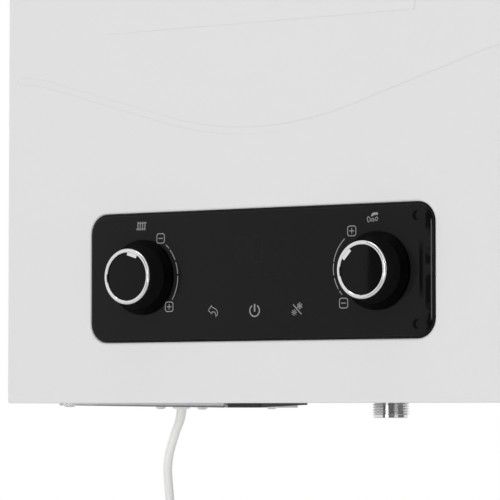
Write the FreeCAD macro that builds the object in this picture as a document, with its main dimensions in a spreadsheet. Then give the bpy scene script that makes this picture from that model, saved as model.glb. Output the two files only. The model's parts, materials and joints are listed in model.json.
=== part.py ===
import FreeCAD
import Part
import math
import operator
import os

import Sketcher

# A wall-hung gas combination boiler, in millimetres. +X is to the right seen from the front, the front
# faces -Y, the wall is the plane Y = 0, and Z = 0 is the line of the two wall bolts.

DIMENSIONS = {
    "general": {
        "overrun": 4,
        "running_clearance": 0.3,
        "bore_clearance": 0.1,
    },
    "casing": {
        "casing_width": 420,
        "casing_height": 740,
        "casing_depth": 300,
        "casing_top": 60,
        "casing_sheet": 1,
        "casing_seam": 0.6,
        "side_flange": 20,
        "side_foot_flange": 8,
        "flue_x": 0,
        "flue_hole_radius": 52,
        "flue_screw_radius": 2.25,
        "flue_screw_circle": 65,
        "inlet_cover_radius": 44,
        "inlet_cover_thickness": 2,
    },
    "wall bracket": {
        "bracket_width": 300,
        "bracket_height": 50,
        "bracket_sheet": 3,
        "bolt_spacing": 220,
        "bolt_hole_radius": 4.25,
        "hook_spacing": 140,
        "hook_width": 30,
        "hook_height": 12,
        "hook_lip": 7,
        "hook_play": 0.8,
    },
    "back frame": {
        "frame_gap": 14,
        "frame_sheet": 1.5,
        "frame_foot": 8,
        "slot_height": 15,
        "rail_inset": 40,
        "rail_flange": 12,
    },
    "front cover": {
        "cover_skirt": 40,
        "cover_round": 1.6,
        "field_width": 246,
        "field_height": 400,
        "field_rise": 251,
        "field_step": 0.4,
        "field_bevel": 0.3,
        "field_round": 3,
        "smile_rise": 179.6,
        "smile_inset": 10.5,
        "smile_dip_radius": 265,
        "smile_end_radius": 96,
        "smile_slope": 16.3,
        "smile_width": 4.7,
        "smile_depth": 0.25,
        "collar_depth": 5,
        "rolled_edge": 1.8,
        "cover_screw_inset": 31.5,
        "cover_screw_from_front": 30,
        "cover_screw_radius": 2,
        "cover_screw_head": 4.4,
        "cover_screw_face": 2.4,
        "cover_screw_head_height": 2.6,
        "cover_screw_length": 9,
    },
    "floor plate": {
        "floor_rise": 13.5,
        "floor_sheet": 1.5,
        "floor_from_front": 45,
        "tab_width": 20,
        "tab_reach": 20,
        "tab_play": 0.3,
        "pipe_hole_clearance": 1.5,
    },
    "underside": {
        "tray_inset": 11,
        "tray_width": 141,
        "tray_depth": 90,
        "tray_wall": 1.2,
        "tray_drop_left": 1.3,
        "tray_drop_right": 3,
        "terminal_gap": 2,
        "terminal_width": 27,
        "terminal_depth": 61,
        "terminal_drop_back": 1,
        "terminal_round": 3,
        "tray_screw_head": 3.6,
        "tray_screw_face": 2.2,
        "tray_screw_height": 2,
        "tray_screw_rim": 0.7,
        "tray_screw_seat": 0.2,
        "tray_screw_sink": 0.6,
        "tray_screw_from_gland": 18,
        "terminal_screw_from_right": 10,
        "terminal_screw_from_front": 75,
        "gland_from_left": 69.5,
        "gland_from_front": 95,
        "gland_flange": 6.2,
        "gland_flange_face": 5.3,
        "gland_flange_height": 1.6,
        "gland_neck": 5,
        "gland_length": 9,
        "gland_nut": 8,
        "gland_nut_height": 4,
    },
    "mains lead": {
        "lead_diameter": 6.4,
        "lead_sink": 8,
        "coil_radius": 40,
        "coil_turns": 4,
        "coil_pitch": 7.1,
        "coil_bend_radius": 40,
        "coil_entry_angle": 60,
        "coil_exit_angle": 40,
        "tail_length": 32,
        "tie_wall": 1,
        "tie_width": 6,
        "tie_play": 0.35,
        "plug_radius": 17.5,
        "plug_neck_radius": 6,
        "plug_neck_start": 4.5,
        "plug_neck_length": 14,
        "plug_body_length": 30,
        "plug_round": 4,
        "plug_pin_radius": 2.4,
        "plug_pin_length": 19,
        "plug_pin_spacing": 19,
    },
    "control panel": {
        "panel_width": 271.6,
        "panel_height": 84.7,
        "panel_rise": 42.15,
        "panel_round": 12,
        "panel_gap": 1.2,
        "panel_proud": 1,
        "panel_thickness": 4,
        "panel_edge": 1.5,
        "panel_post_radius": 3,
        "panel_post_x": 124,
        "panel_post_inset": 12,
        "box_inset": 2.5,
        "box_depth": 62,
        "box_wall": 2,
        "ear_height": 30,
        "ear_sheet": 1.5,
        "board_gap": 8,
        "board_thickness": 1.6,
        "board_inset": 4,
        "display_width": 66,
        "display_height": 34,
        "display_rise": 7,
        "main_board_post": 5,
        "main_board_width": 220,
        "main_board_height": 66,
        "transformer_side": 34,
        "transformer_height": 27,
        "relay_length": 22,
        "relay_width": 16,
        "relay_pitch": 28.6,
        "relay_count": 4,
        "encoder_side": 13,
    },
    "knobs": {
        "knob_spacing": 186.2,
        "knob_offset": 1.5,
        "knob_lift": 0.4,
        "knob_skirt_radius": 25.2,
        "knob_skirt_edge": 2.2,
        "knob_flare_height": 6,
        "knob_grip_base": 21,
        "knob_grip_top": 19.2,
        "knob_seat": 16.4,
        "ring_radius": 18.7,
        "ring_width": 2.6,
        "ring_height": 2.8,
        "ring_bevel": 0.4,
        "ring_round": 1.3,
        "cap_recess": 1.2,
        "pointer_width": 8,
        "pointer_depth": 2.4,
        "pointer_recess": 0.4,
        "pointer_root": 0.9,
        "shaft_radius": 3,
        "shaft_grip": 11,
        "heating_pointer_angle": 17,
        "hot_water_pointer_angle": -48,
    },
    "combustion chamber": {
        "chamber_side_gap": 25,
        "chamber_from_wall": 105,
        "chamber_front_gap": 25,
        "service_height": 265,
        "chamber_sheet": 1.2,
        "lid_bead_inset": 30,
        "lid_bead_width": 6,
        "lid_bead_step": 1.5,
        "sight_radius": 16,
        "sight_thickness": 3,
        "sight_height": 62,
        "sight_hole": 11,
        "hearth_side_gap": 55,
        "hearth_gap": 23,
        "hearth_height": 130,
        "hearth_lining": 12,
        "burner_height": 42,
        "burner_leg": 26,
        "burner_blades": 13,
        "burner_blade_thickness": 8,
        "burner_rail": 6,
        "burner_port_width": 1.6,
        "burner_port_length": 5.4,
        "burner_port_depth": 6,
        "burner_ports": 8,
        "manifold_radius": 8,
        "manifold_from_burner": 2,
        "manifold_inset": 12,
        "nozzle_radius": 3,
        "manifold_boss_radius": 9.6,
        "manifold_boss_drop": 20,
        "electrode_spacing": 60,
        "electrode_rise": 12,
        "electrode_radius": 4,
        "electrode_length": 34,
        "electrode_flange_radius": 8,
        "electrode_flange": 2,
        "electrode_wire_radius": 1.2,
        "electrode_wire_length": 18,
    },
    "heat exchanger": {
        "fin_stack_height": 70,
        "fin_thickness": 1,
        "fin_count": 30,
        "fin_margin": 9,
        "exchanger_side": 2,
    },
    "flue hood and fan": {
        "hood_rise": 45,
        "hood_sheet": 1.2,
        "throat_width": 116,
        "throat_gap": 13,
        "throat_height": 110,
        "throat_clearance": 36,
        "fan_x": 32,
        "fan_drop": 75,
        "fan_radius": 62,
        "fan_depth": 50,
        "fan_sheet": 1.5,
        "fan_inlet_radius": 28,
        "fan_outlet_width": 60,
        "spigot_radius": 30,
        "spigot_wall": 1.5,
        "spigot_rise": 25,
        "spigot_foot": 8,
        "impeller_radius": 50,
        "impeller_inner_radius": 38,
        "impeller_depth": 32,
        "impeller_plate": 2,
        "impeller_blades": 18,
        "impeller_blade_thickness": 1.6,
        "impeller_hub": 9,
        "fan_shaft_radius": 4,
        "fan_shaft_reach": 20,
        "fan_motor_radius": 31,
        "fan_motor_gap": 12,
        "fan_motor_foot_radius": 40,
        "fan_motor_foot": 4,
        "fan_motor_round": 5,
        "switch_radius": 27,
        "switch_depth": 20,
        "switch_rim": 3,
        "switch_inset": 40,
        "switch_drop": 90,
        "switch_port_radius": 3,
        "switch_port_length": 9,
    },
    "water and gas": {
        "connection_from_wall": 100,
        "connection_left": 58,
        "connection_right": 102,
        "thread_large": 13.22,
        "thread_small": 10.48,
        "stub_wall": 3,
        "stub_end_bevel": 1.2,
        "gas_stub_drop": 10.3,
        "water_stub_rise": 3,
        "gas_collar_radius": 18,
        "gas_collar_height": 25,
        "gas_valve_gap": 3.5,
        "gas_valve_front": 35,
        "gas_valve_back": 23,
        "gas_valve_height": 100,
        "gas_coil_radius": 17,
        "gas_coil_height": 30,
        "gas_coil_spacing": 40,
        "gas_valve_cap_radius": 15,
        "gas_valve_cap_height": 12,
        "pipe_radius": 8,
        "pipe_bend": 20,
        "gas_pipe_run": 66,
        "block_overhang": 22.5,
        "block_depth": 50,
        "block_height": 90,
        "block_shoulder": 23,
        "block_bevel": 6,
        "plate_stack_width": 196,
        "plate_stack_depth": 40,
        "plate_stack_height": 70,
        "plate_stack_gap": 10,
        "plate_groove": 1.2,
        "plate_groove_depth": 2,
        "plate_grooves": 12,
        "pump_offset": 7.6,
        "pump_radius": 45,
        "pump_depth": 46,
        "pump_wall": 6,
        "pump_port_radius": 15,
        "pump_port_rise": 12,
        "pump_motor_radius": 40,
        "pump_motor_gap": 20,
        "pump_motor_round": 6,
        "pump_rotor_radius": 30,
        "pump_rotor_depth": 16,
        "pump_rotor_plate": 5.4,
        "pump_vane_thickness": 2.6,
        "pump_vanes": 6,
        "pump_shaft_radius": 5,
        "pump_shaft_reach": 32,
        "diverter_width": 38,
        "diverter_depth": 38,
        "diverter_height": 56,
        "diverter_round": 4,
        "spindle_radius": 4,
        "spindle_sink": 36,
        "spindle_rise": 30,
        "spindle_travel": 8,
        "safety_body_radius": 12,
        "safety_body_length": 29,
        "safety_cap_radius": 15,
        "safety_cap_length": 20,
        "safety_outlet_radius": 8,
        "safety_outlet_drop": 20,
        "tap_knob_radius": 10,
        "tap_knob_face": 8.5,
        "tap_knob_height": 7,
        "tap_knob_bevel": 1.4,
        "tap_knob_gap": 1.2,
        "tap_stem_radius": 4,
        "tap_stem_sink": 14,
        "riser_inset": 27,
        "riser_sink": 30,
    },
    "expansion vessel": {
        "vessel_gap": 8,
        "vessel_depth": 84,
        "vessel_seam": 6,
        "vessel_shoulder": 21,
        "vessel_dome_radius": 120,
        "vessel_seat_radius": 70,
        "vessel_top_gap": 66,
        "vessel_hose_radius": 5,
        "vessel_hose_bend": 14,
        "vessel_boss_radius": 8,
        "vessel_boss_length": 14,
        "vessel_hose_inset": 11,
        "vessel_hose_rise": 45,
        "vessel_hose_back": 12.5,
    },
}

doc = FreeCAD.newDocument("wall_boiler")
dims = doc.addObject("Spreadsheet::Sheet", "dims")


class Size:
    """A length as an expression on the sheet's cells, with the number that it gives."""

    def __init__(self, text, number):
        self.text = text
        self.number = number

    def __float__(self):
        return self.number

    def paired(self, sign, work, other):
        other = as_size(other)
        return Size(f"({self.text} {sign} {other.text})", work(self.number, other.number))

    def __add__(self, other):
        return self.paired("+", operator.add, other)

    def __sub__(self, other):
        return self.paired("-", operator.sub, other)

    def __mul__(self, other):
        return self.paired("*", operator.mul, other)

    def __truediv__(self, other):
        return self.paired("/", operator.truediv, other)

    def __rmul__(self, other):
        return as_size(other) * self

    def __neg__(self):
        return Size(f"(-{self.text})", -self.number)


def as_size(value):
    return value if isinstance(value, Size) else Size(str(value), float(value))


class Sizes:
    """The sheet's cells by their names."""

    def __getattr__(self, name):
        return Size(f"dims.{name}", float(dims.get(name)))


def fill_sheet():
    row = 1
    for group, values in DIMENSIONS.items():
        dims.set(f"A{row}", group)
        row += 1
        for name, number in values.items():
            dims.set(f"A{row}", name)
            dims.set(f"B{row}", str(number))
            dims.setAlias(f"B{row}", name)
            row += 1
    doc.recompute()


fill_sheet()
s = Sizes()

WAYS = {
    "up": FreeCAD.Rotation(),
    "down": FreeCAD.Rotation(FreeCAD.Vector(1, 0, 0), 180),
    "front": FreeCAD.Rotation(FreeCAD.Vector(1, 0, 0), 90),
    "back": FreeCAD.Rotation(FreeCAD.Vector(1, 0, 0), -90),
    "right": FreeCAD.Rotation(FreeCAD.Vector(0, 1, 0), 90),
    "left": FreeCAD.Rotation(FreeCAD.Vector(0, 1, 0), -90),
}
NEAR = 1e-4
ARC_SHARE = 0.45


def bind(piece, name, size):
    piece.setExpression(name, as_size(size).text)


def place(piece, foot, rotation):
    piece.Placement = FreeCAD.Placement(FreeCAD.Vector(), rotation)
    for axis, size in zip("xyz", foot):
        bind(piece, f"Placement.Base.{axis}", size)


def box(name, across, deep, high):
    """A block between two places on each axis."""
    piece = doc.addObject("Part::Box", name)
    for side, axis, (low, top) in zip(("Length", "Width", "Height"), "xyz", (across, deep, high)):
        bind(piece, side, as_size(top) - low)
        bind(piece, f"Placement.Base.{axis}", low)
    return piece


def rod(name, radius, length, foot, way="up"):
    piece = doc.addObject("Part::Cylinder", name)
    bind(piece, "Radius", radius)
    bind(piece, "Height", length)
    place(piece, foot, WAYS[way])
    return piece


def fuse(name, *pieces):
    piece = doc.addObject("Part::MultiFuse", name)
    piece.Shapes = list(pieces)
    piece.Refine = True
    return piece


def cut(name, base, *tools):
    piece = doc.addObject("Part::Cut", name)
    piece.Base = base
    piece.Tool = tools[0] if len(tools) == 1 else fuse(f"{name}_cuts", *tools)
    return piece


def group(name, *pieces):
    piece = doc.addObject("Part::Compound", name)
    piece.Links = list(pieces)
    return piece


def runs_along(edge, axis):
    """Whether an edge is straight and lies along an axis."""
    if edge.Degenerated or not isinstance(edge.Curve, Part.Line):
        return False
    return abs(getattr(edge.Curve.Direction, axis)) > 1 - NEAR


def lies_at(edge, **places):
    """Whether an edge's centre lies at the given places."""
    centre = edge.CenterOfMass
    return all(abs(getattr(centre, axis) - float(size)) < NEAR for axis, size in places.items())


class Body:
    """A body built from sketches and features, one on the other."""

    def __init__(self, name):
        self.body = doc.addObject("PartDesign::Body", name)
        self.name = name

    def feature(self, kind, word):
        return self.body.newObject(f"PartDesign::{kind}", f"{self.name}_{word}")

    def sketch(self, plane, lift=0):
        outline = self.body.newObject("Sketcher::SketchObject", f"{self.name}_outline")
        origin = next(part for part in self.body.Origin.OriginFeatures if part.Role == plane)
        outline.AttachmentSupport = [(origin, "")]
        outline.MapMode = "FlatFace"
        bind(outline, "AttachmentOffset.Base.z", lift)
        return outline

    def pad(self, outline, length, backwards=False):
        pad = self.feature("Pad", "pad")
        pad.Profile = outline
        pad.Reversed = backwards
        bind(pad, "Length", length)
        doc.recompute()
        return pad

    def pocket(self, outline, length, backwards=False):
        before = self.body.Shape.Volume
        pocket = self.feature("Pocket", "pocket")
        pocket.Profile = outline
        pocket.Reversed = backwards
        bind(pocket, "Length", length)
        doc.recompute()
        if not pocket.Shape.Volume < before:
            raise ValueError(f"{pocket.Name} cuts nothing")
        return pocket

    def turn(self, outline):
        turned = self.feature("Revolution", "turned")
        turned.Profile = outline
        turned.ReferenceAxis = (outline, ["V_Axis"])
        turned.Angle = 360
        doc.recompute()
        return turned

    def soften(self, kind, size, chosen):
        """Rounds or bevels the edges that a test picks."""
        base = self.body.Tip
        names = [f"Edge{n}" for n, edge in enumerate(base.Shape.Edges, 1) if chosen(edge)]
        soft = self.feature(kind, kind.lower())
        soft.Base = (base, names)
        bind(soft, "Radius" if kind == "Fillet" else "Size", size)
        doc.recompute()
        return soft

    def repeat(self, features, outline, axis, length, count):
        pattern = self.feature("LinearPattern", "row")
        pattern.Originals = features
        pattern.Direction = (outline, [axis])
        bind(pattern, "Length", length)
        bind(pattern, "Occurrences", count)
        self.body.Tip = pattern
        doc.recompute()
        return pattern


def loop(outline, corners):
    """A closed outline through corners given by their sizes."""
    first = outline.GeometryCount
    points = [FreeCAD.Vector(float(x), float(y), 0) for x, y in corners]
    count = len(points)
    for n in range(count):
        outline.addGeometry(Part.LineSegment(points[n], points[(n + 1) % count]))
    for n, corner in enumerate(corners):
        following = first + (n + 1) % count
        outline.addConstraint(Sketcher.Constraint("Coincident", first + n, 2, following, 1))
        for kind, size in zip(("DistanceX", "DistanceY"), corner):
            number = outline.addConstraint(Sketcher.Constraint(kind, first + n, 1, float(size)))
            outline.setExpression(f"Constraints[{number}]", as_size(size).text)


def rectangle(outline, across, high):
    loop(outline, [(across[0], high[0]), (across[1], high[0]), (across[1], high[1]), (across[0], high[1])])


def circle(outline, radius, centre):
    x, y = centre
    middle = FreeCAD.Vector(float(x), float(y), 0)
    ring = outline.addGeometry(Part.Circle(middle, FreeCAD.Vector(0, 0, 1), float(radius)))
    number = outline.addConstraint(Sketcher.Constraint("Radius", ring, float(radius)))
    outline.setExpression(f"Constraints[{number}]", as_size(radius).text)
    for kind, size in zip(("DistanceX", "DistanceY"), centre):
        number = outline.addConstraint(Sketcher.Constraint(kind, ring, 3, float(size)))
        outline.setExpression(f"Constraints[{number}]", as_size(size).text)


def turned(name, profile, foot, way="up"):
    """A body turned about its own axis from (radius, height) corners, set on its foot."""
    body = Body(name)
    outline = body.sketch("XZ_Plane")
    loop(outline, profile)
    body.turn(outline)
    place(body.body, foot, WAYS[way])
    return body


def tube_path(points, bend):
    """Straight runs joined by tangent arcs of one radius."""
    points = [FreeCAD.Vector(*(float(size) for size in point)) for point in points]
    edges = []
    start = points[0]
    for before, corner, after in zip(points, points[1:], points[2:]):
        come = (corner - before).normalize()
        leave = (after - corner).normalize()
        half_turn = come.getAngle(leave) / 2
        reach = bend * math.tan(half_turn)
        inner = corner + (leave - come).normalize() * (bend / math.cos(half_turn) - bend)
        edges.append(Part.LineSegment(start, corner - come * reach).toShape())
        edges.append(Part.Arc(corner - come * reach, inner, corner + leave * reach).toShape())
        start = corner + leave * reach
    edges.append(Part.LineSegment(start, points[-1]).toShape())
    return Part.Wire(edges)


def tube(name, path, radius):
    """A round tube along a path, whose volume has to be its section times its length."""
    first = path.Edges[0]
    start = first.valueAt(first.FirstParameter)
    section = Part.Wire(Part.makeCircle(float(radius), start, first.tangentAt(first.FirstParameter)))
    piece = doc.addObject("Part::Feature", name)
    piece.Shape = path.makePipeShell([section], True, False)
    expected = math.pi * float(radius) ** 2 * path.Length
    share = piece.Shape.Volume / expected
    print(f"{name}: {path.Length:.1f} mm long, volume {share:.4f} of section x length")
    return piece


# Planes and places that several pieces share.

half_width = s.casing_width / 2
inside = half_width - s.casing_sheet
front = -s.casing_depth
top = s.casing_top
roof = top - s.casing_sheet
bottom = top - s.casing_height
rim = front + s.cover_skirt
case_front = rim + s.casing_seam
plate_back = -s.frame_gap
plate_front = plate_back - s.frame_sheet
floor_under = bottom + s.floor_rise
floor_top = floor_under + s.floor_sheet
floor_front = front + s.floor_from_front
chamber_back = -s.chamber_from_wall
chamber_front = front + s.chamber_front_gap
chamber_foot = floor_top + s.service_height
flue_y = (chamber_front + chamber_back) / 2
panel_middle = bottom + s.panel_rise + s.panel_height / 2
panel_front = front - s.panel_proud
panel_back = panel_front + s.panel_thickness
connection_y = -s.connection_from_wall
cover_screw_x = half_width - s.cover_screw_inset
rail_x = half_width - s.rail_inset
tray_left = s.tray_inset - half_width
gland_x = tray_left + s.gland_from_left
connection_pitch = (s.casing_width - s.connection_left - s.connection_right) / 4
gas_x = s.connection_left + 2 * connection_pitch - half_width
block_width = connection_pitch + 2 * s.block_overhang

# The burner, hearth, heat exchanger, hood and throat stand on each other and share out the height of
# the combustion chamber.

burner_share = s.burner_leg + s.burner_height + s.hearth_height
hood_share = s.fin_stack_height + s.hood_rise + s.throat_height + s.throat_clearance
height_scale = (roof - chamber_foot) / (burner_share + hood_share)


def side_by_side(half):
    return (-half, half)


# Wall bracket: a strip bolted to the wall, with two hooks that carry the frame.


def wall_bracket():
    strip = box(
        "bracket_strip",
        side_by_side(s.bracket_width / 2),
        (-s.bracket_sheet, 0),
        side_by_side(s.bracket_height / 2),
    )
    lip_back = plate_front - s.hook_play
    lip_front = lip_back - s.bracket_sheet
    hooks = []
    for side, name in ((-1, "left"), (1, "right")):
        middle = s.hook_spacing / 2 * side
        across = (middle - s.hook_width / 2, middle + s.hook_width / 2)
        under = s.hook_height - s.bracket_sheet
        hooks.append(box(f"{name}_tongue", across, (lip_front, -s.bracket_sheet), (under, s.hook_height)))
        lip_top = s.hook_height + s.hook_lip
        hooks.append(box(f"{name}_lip", across, (lip_front, lip_back), (under, lip_top)))
    solid = fuse("bracket_solid", strip, *hooks)
    holes = [
        rod(
            f"bolt_hole_{n}",
            s.bolt_hole_radius,
            s.bracket_sheet + 2 * s.overrun,
            (s.bolt_spacing / 2 * side, s.overrun, 0),
            "front",
        )
        for n, side in enumerate((-1, 1))
    ]
    return cut("wall_bracket", solid, *holes)


# Back frame: a plate with side flanges, hung on the hooks, with two rails for the chamber.


def back_frame():
    foot = bottom + s.frame_foot
    plate = box("frame_plate", side_by_side(inside), (plate_front, plate_back), (foot, roof))
    pieces = []
    for side, name in ((-1, "left"), (1, "right")):
        edge = sorted((inside * side, (inside - s.frame_sheet) * side), key=float)
        pieces.append(box(f"{name}_flange", edge, (plate_back, 0), (foot, roof)))
        web = sorted((rail_x * side, (rail_x + s.frame_sheet) * side), key=float)
        pieces.append(box(f"{name}_rail", web, (chamber_back, plate_front), (chamber_foot, roof)))
        flange = sorted((rail_x * side, (rail_x + s.rail_flange) * side), key=float)
        face = (chamber_back, chamber_back + s.frame_sheet)
        pieces.append(box(f"{name}_rail_face", flange, face, (chamber_foot, roof)))
    solid = fuse("frame_solid", plate, *pieces)
    slots = []
    for side, name in ((-1, "left"), (1, "right")):
        middle = s.hook_spacing / 2 * side
        half = s.hook_width / 2 + s.hook_play
        deep = (plate_front - s.overrun, plate_back + s.overrun)
        high = (s.hook_height - s.slot_height, s.hook_height)
        slots.append(box(f"{name}_slot", (middle - half, middle + half), deep, high))
    return cut("back_frame", solid, *slots)


# Side panels: one bent sheet each, with a front flange behind the cover and a foot flange.


def side_panel(name, side):
    body = Body(name)
    outer = half_width * side
    inner = inside * side
    flange = (half_width - s.side_flange) * side
    outline = body.sketch("XY_Plane", bottom)
    bent = case_front + s.casing_sheet
    web = [(outer, 0), (outer, case_front)]
    corners = web + [(flange, case_front), (flange, bent), (inner, bent), (inner, 0)]
    loop(outline, corners)
    body.pad(outline, s.casing_height - s.casing_sheet)
    outline = body.sketch("XY_Plane", bottom)
    foot = (half_width - s.side_foot_flange) * side
    rectangle(outline, (outer, foot), (case_front, 0))
    body.pad(outline, s.casing_sheet)
    return body.body


# Top panel: the flue opening with its four screw holes, and a flange behind the cover.


def top_panel():
    body = Body("top_panel")
    outline = body.sketch("XY_Plane", roof)
    rectangle(outline, side_by_side(half_width), (case_front, 0))
    body.pad(outline, s.casing_sheet)
    outline = body.sketch("XY_Plane", top + s.overrun)
    circle(outline, s.flue_hole_radius, (s.flue_x, flue_y))
    for across, deep in ((1, 0), (0, 1), (-1, 0), (0, -1)):
        centre = (s.flue_x + s.flue_screw_circle * across, flue_y + s.flue_screw_circle * deep)
        circle(outline, s.flue_screw_radius, centre)
    body.pocket(outline, s.casing_sheet + 2 * s.overrun)
    return body.body


def air_inlet_cover():
    """The plate over the spare air inlet of the top panel."""
    foot = (-(half_width + s.flue_hole_radius) / 2, flue_y, top)
    return rod("air_inlet_cover", s.inlet_cover_radius, s.inlet_cover_thickness, foot)


# Front cover: a drawn pan with a raised field, a smiling groove and a collared cut-out for the panel.


def smile_groove():
    """The groove's outline: a shallow curve with round ends, swept to its width."""
    slope = math.radians(float(s.smile_slope))
    dip = float(s.smile_dip_radius)
    end = float(s.smile_end_radius)
    low = float(bottom + s.smile_rise)
    run_start = (dip * math.sin(slope), low + dip * (1 - math.cos(slope)))
    reach = float(half_width - s.smile_inset)
    run_end_x = reach - end * math.sin(slope)
    run_end = (run_end_x, run_start[1] + (run_end_x - run_start[0]) * math.tan(slope))
    tip = (reach, run_end[1] + end * (1 - math.cos(slope)))
    half = (
        run_end[0] + end * (math.sin(slope) - math.sin(slope / 2)),
        tip[1] - end * (1 - math.cos(slope / 2)),
    )
    depth = float(front + s.smile_depth)

    def spot(point, side):
        return FreeCAD.Vector(point[0] * side, depth, point[1])

    dip_arc = Part.Arc(spot(run_start, -1), FreeCAD.Vector(0, depth, low), spot(run_start, 1))
    edges = [
        Part.Arc(spot(tip, -1), spot((tip[0] - (half[0] - run_end[0]), half[1]), -1), spot(run_end, -1)),
        Part.LineSegment(spot(run_end, -1), spot(run_start, -1)),
        dip_arc,
        Part.LineSegment(spot(run_start, 1), spot(run_end, 1)),
        Part.Arc(spot(run_end, 1), spot((tip[0] - (half[0] - run_end[0]), half[1]), 1), spot(tip, 1)),
    ]
    line = Part.Wire([edge.toShape() for edge in edges])
    face = line.makeOffset2D(float(s.smile_width) / 2, 0, True, False, False)
    piece = doc.addObject("Part::Feature", "smile_groove")
    piece.Shape = face.extrude(FreeCAD.Vector(0, -float(s.smile_depth + s.overrun), 0))
    return piece


def front_cover():
    body = Body("cover_pan")
    lift = s.casing_depth
    outline = body.sketch("XZ_Plane", lift)
    rectangle(outline, side_by_side(half_width), (bottom, top))
    body.pad(outline, s.cover_skirt, backwards=True)
    outline = body.sketch("XZ_Plane", lift - s.casing_sheet)
    inner_bottom = bottom + s.casing_sheet
    rectangle(outline, side_by_side(inside), (inner_bottom, roof))
    body.pocket(outline, s.cover_skirt)

    def corner_or_face(half, levels, face):
        """Picks a pan's four corner edges and the edges round its face."""

        def chosen(edge):
            if lies_at(edge, y=face):
                return True
            corners = [(half * side, level) for side in (-1, 1) for level in levels]
            return runs_along(edge, "y") and any(lies_at(edge, x=x, z=z) for x, z in corners)

        return chosen

    hollow = corner_or_face(inside, (inner_bottom, roof), front + s.casing_sheet)

    def hollow_rim(edge):
        centre = edge.CenterOfMass
        at_side = any(lies_at(edge, x=inside * side) for side in (-1, 1))
        at_end = any(lies_at(edge, z=level) for level in (inner_bottom, roof))
        return hollow(edge) and (at_side or at_end) and abs(centre.y) < float(s.casing_depth)

    body.soften("Fillet", s.cover_round - s.casing_sheet, hollow_rim)
    body.soften("Fillet", s.cover_round, corner_or_face(half_width, (bottom, top), front))

    outline = body.sketch("XZ_Plane", lift)
    field_bottom = bottom + s.field_rise
    rectangle(outline, side_by_side(s.field_width / 2), (field_bottom, field_bottom + s.field_height))
    body.pad(outline, s.field_step)
    body.soften("Fillet", s.field_round, lambda edge: lies_at(edge, y=front - s.field_step / 2))
    body.soften("Chamfer", s.field_bevel, lambda edge: lies_at(edge, y=front - s.field_step))

    hole_half = s.panel_width / 2 + s.panel_gap
    hole_high = s.panel_height / 2 + s.panel_gap
    collar_half = hole_half + s.casing_sheet
    collar_high = hole_high + s.casing_sheet
    hole_round = s.panel_round + s.panel_gap
    outline = body.sketch("XZ_Plane", lift - s.casing_sheet)
    high = (panel_middle - collar_high, panel_middle + collar_high)
    rectangle(outline, side_by_side(collar_half), high)
    body.pad(outline, s.collar_depth - s.casing_sheet, backwards=True)

    def upright_at(half):
        return lambda edge: runs_along(edge, "y") and any(lies_at(edge, x=half * side) for side in (-1, 1))

    outline = body.sketch("XZ_Plane", lift + s.overrun)
    high = (panel_middle - hole_high, panel_middle + hole_high)
    rectangle(outline, side_by_side(hole_half), high)
    body.pocket(outline, s.collar_depth + 2 * s.overrun)
    body.soften("Fillet", hole_round, upright_at(hole_half))
    body.soften("Fillet", hole_round + s.casing_sheet, upright_at(collar_half))

    def mouth(edge):
        centre = edge.CenterOfMass
        across = abs(centre.x) < float(hole_half) + NEAR
        upright = abs(centre.z - float(panel_middle)) < float(hole_high) + NEAR
        return across and upright and lies_at(edge, y=front)

    body.soften("Fillet", s.rolled_edge, mouth)

    outline = body.sketch("XY_Plane", bottom + s.casing_sheet + s.overrun)
    for side in (-1, 1):
        centre = (cover_screw_x * side, front + s.cover_screw_from_front)
        circle(outline, s.cover_screw_radius + s.running_clearance, centre)
    body.pocket(outline, s.casing_sheet + 2 * s.overrun)
    return cut("front_cover", body.body, smile_groove())


def cover_screws():
    """The two screws under the cover's skirt, which slide out of the floor plate's open slots."""
    screws = []
    for side, name in ((-1, "left"), (1, "right")):
        profile = [
            (0, -s.cover_screw_head_height),
            (s.cover_screw_face, -s.cover_screw_head_height),
            (s.cover_screw_head, 0),
            (s.cover_screw_radius, 0),
            (s.cover_screw_radius, s.cover_screw_length),
            (0, s.cover_screw_length),
        ]
        foot = (cover_screw_x * side, front + s.cover_screw_from_front, bottom)
        screws.append(turned(f"{name}_cover_screw", profile, foot).body)
    return group("cover_screws", *screws)


# Floor plate: carries the connections, with two slotted tabs for the cover screws.


def connection_x(number):
    """The five connections stand at one pitch about the gas pipe."""
    return gas_x + connection_pitch * number


def floor_plate():
    plate = box("floor_sheet", side_by_side(inside), (floor_front, plate_front), (floor_under, floor_top))
    tab_under = bottom + s.casing_sheet + s.tab_play
    tab_front = front + s.tab_reach
    pieces = []
    cuts = []
    for side, name in ((-1, "left"), (1, "right")):
        middle = cover_screw_x * side
        across = (middle - s.tab_width / 2, middle + s.tab_width / 2)
        leg = (floor_front - s.floor_sheet, floor_front)
        pieces.append(box(f"{name}_leg", across, leg, (tab_under, floor_top)))
        tab = (tab_front, floor_front)
        pieces.append(box(f"{name}_tab", across, tab, (tab_under, tab_under + s.floor_sheet)))
        half = s.cover_screw_radius + s.running_clearance
        slot = (tab_front - s.overrun, front + s.cover_screw_from_front + half)
        high = (tab_under - s.overrun, tab_under + s.floor_sheet + s.overrun)
        cuts.append(box(f"{name}_tab_slot", (middle - half, middle + half), slot, high))
    foot = floor_under - s.overrun
    depth = s.floor_sheet + 2 * s.overrun
    radii = (s.thread_large, s.thread_small, s.thread_large, s.thread_small, s.thread_large)
    for number, radius in zip((-2, -1, 0, 1, 2), radii):
        centre = (connection_x(number), connection_y, foot)
        cuts.append(rod(f"pipe_hole_{number + 2}", radius + s.pipe_hole_clearance, depth, centre))
    tap = (connection_x(1) + connection_pitch / 2, connection_y, foot)
    cuts.append(rod("tap_hole", s.tap_stem_radius + s.pipe_hole_clearance, depth, tap))
    return cut("floor_plate", fuse("floor_solid", plate, *pieces), *cuts)


# Underside: the terminal tray with the cable gland, and the black terminal cover beside it.


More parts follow.
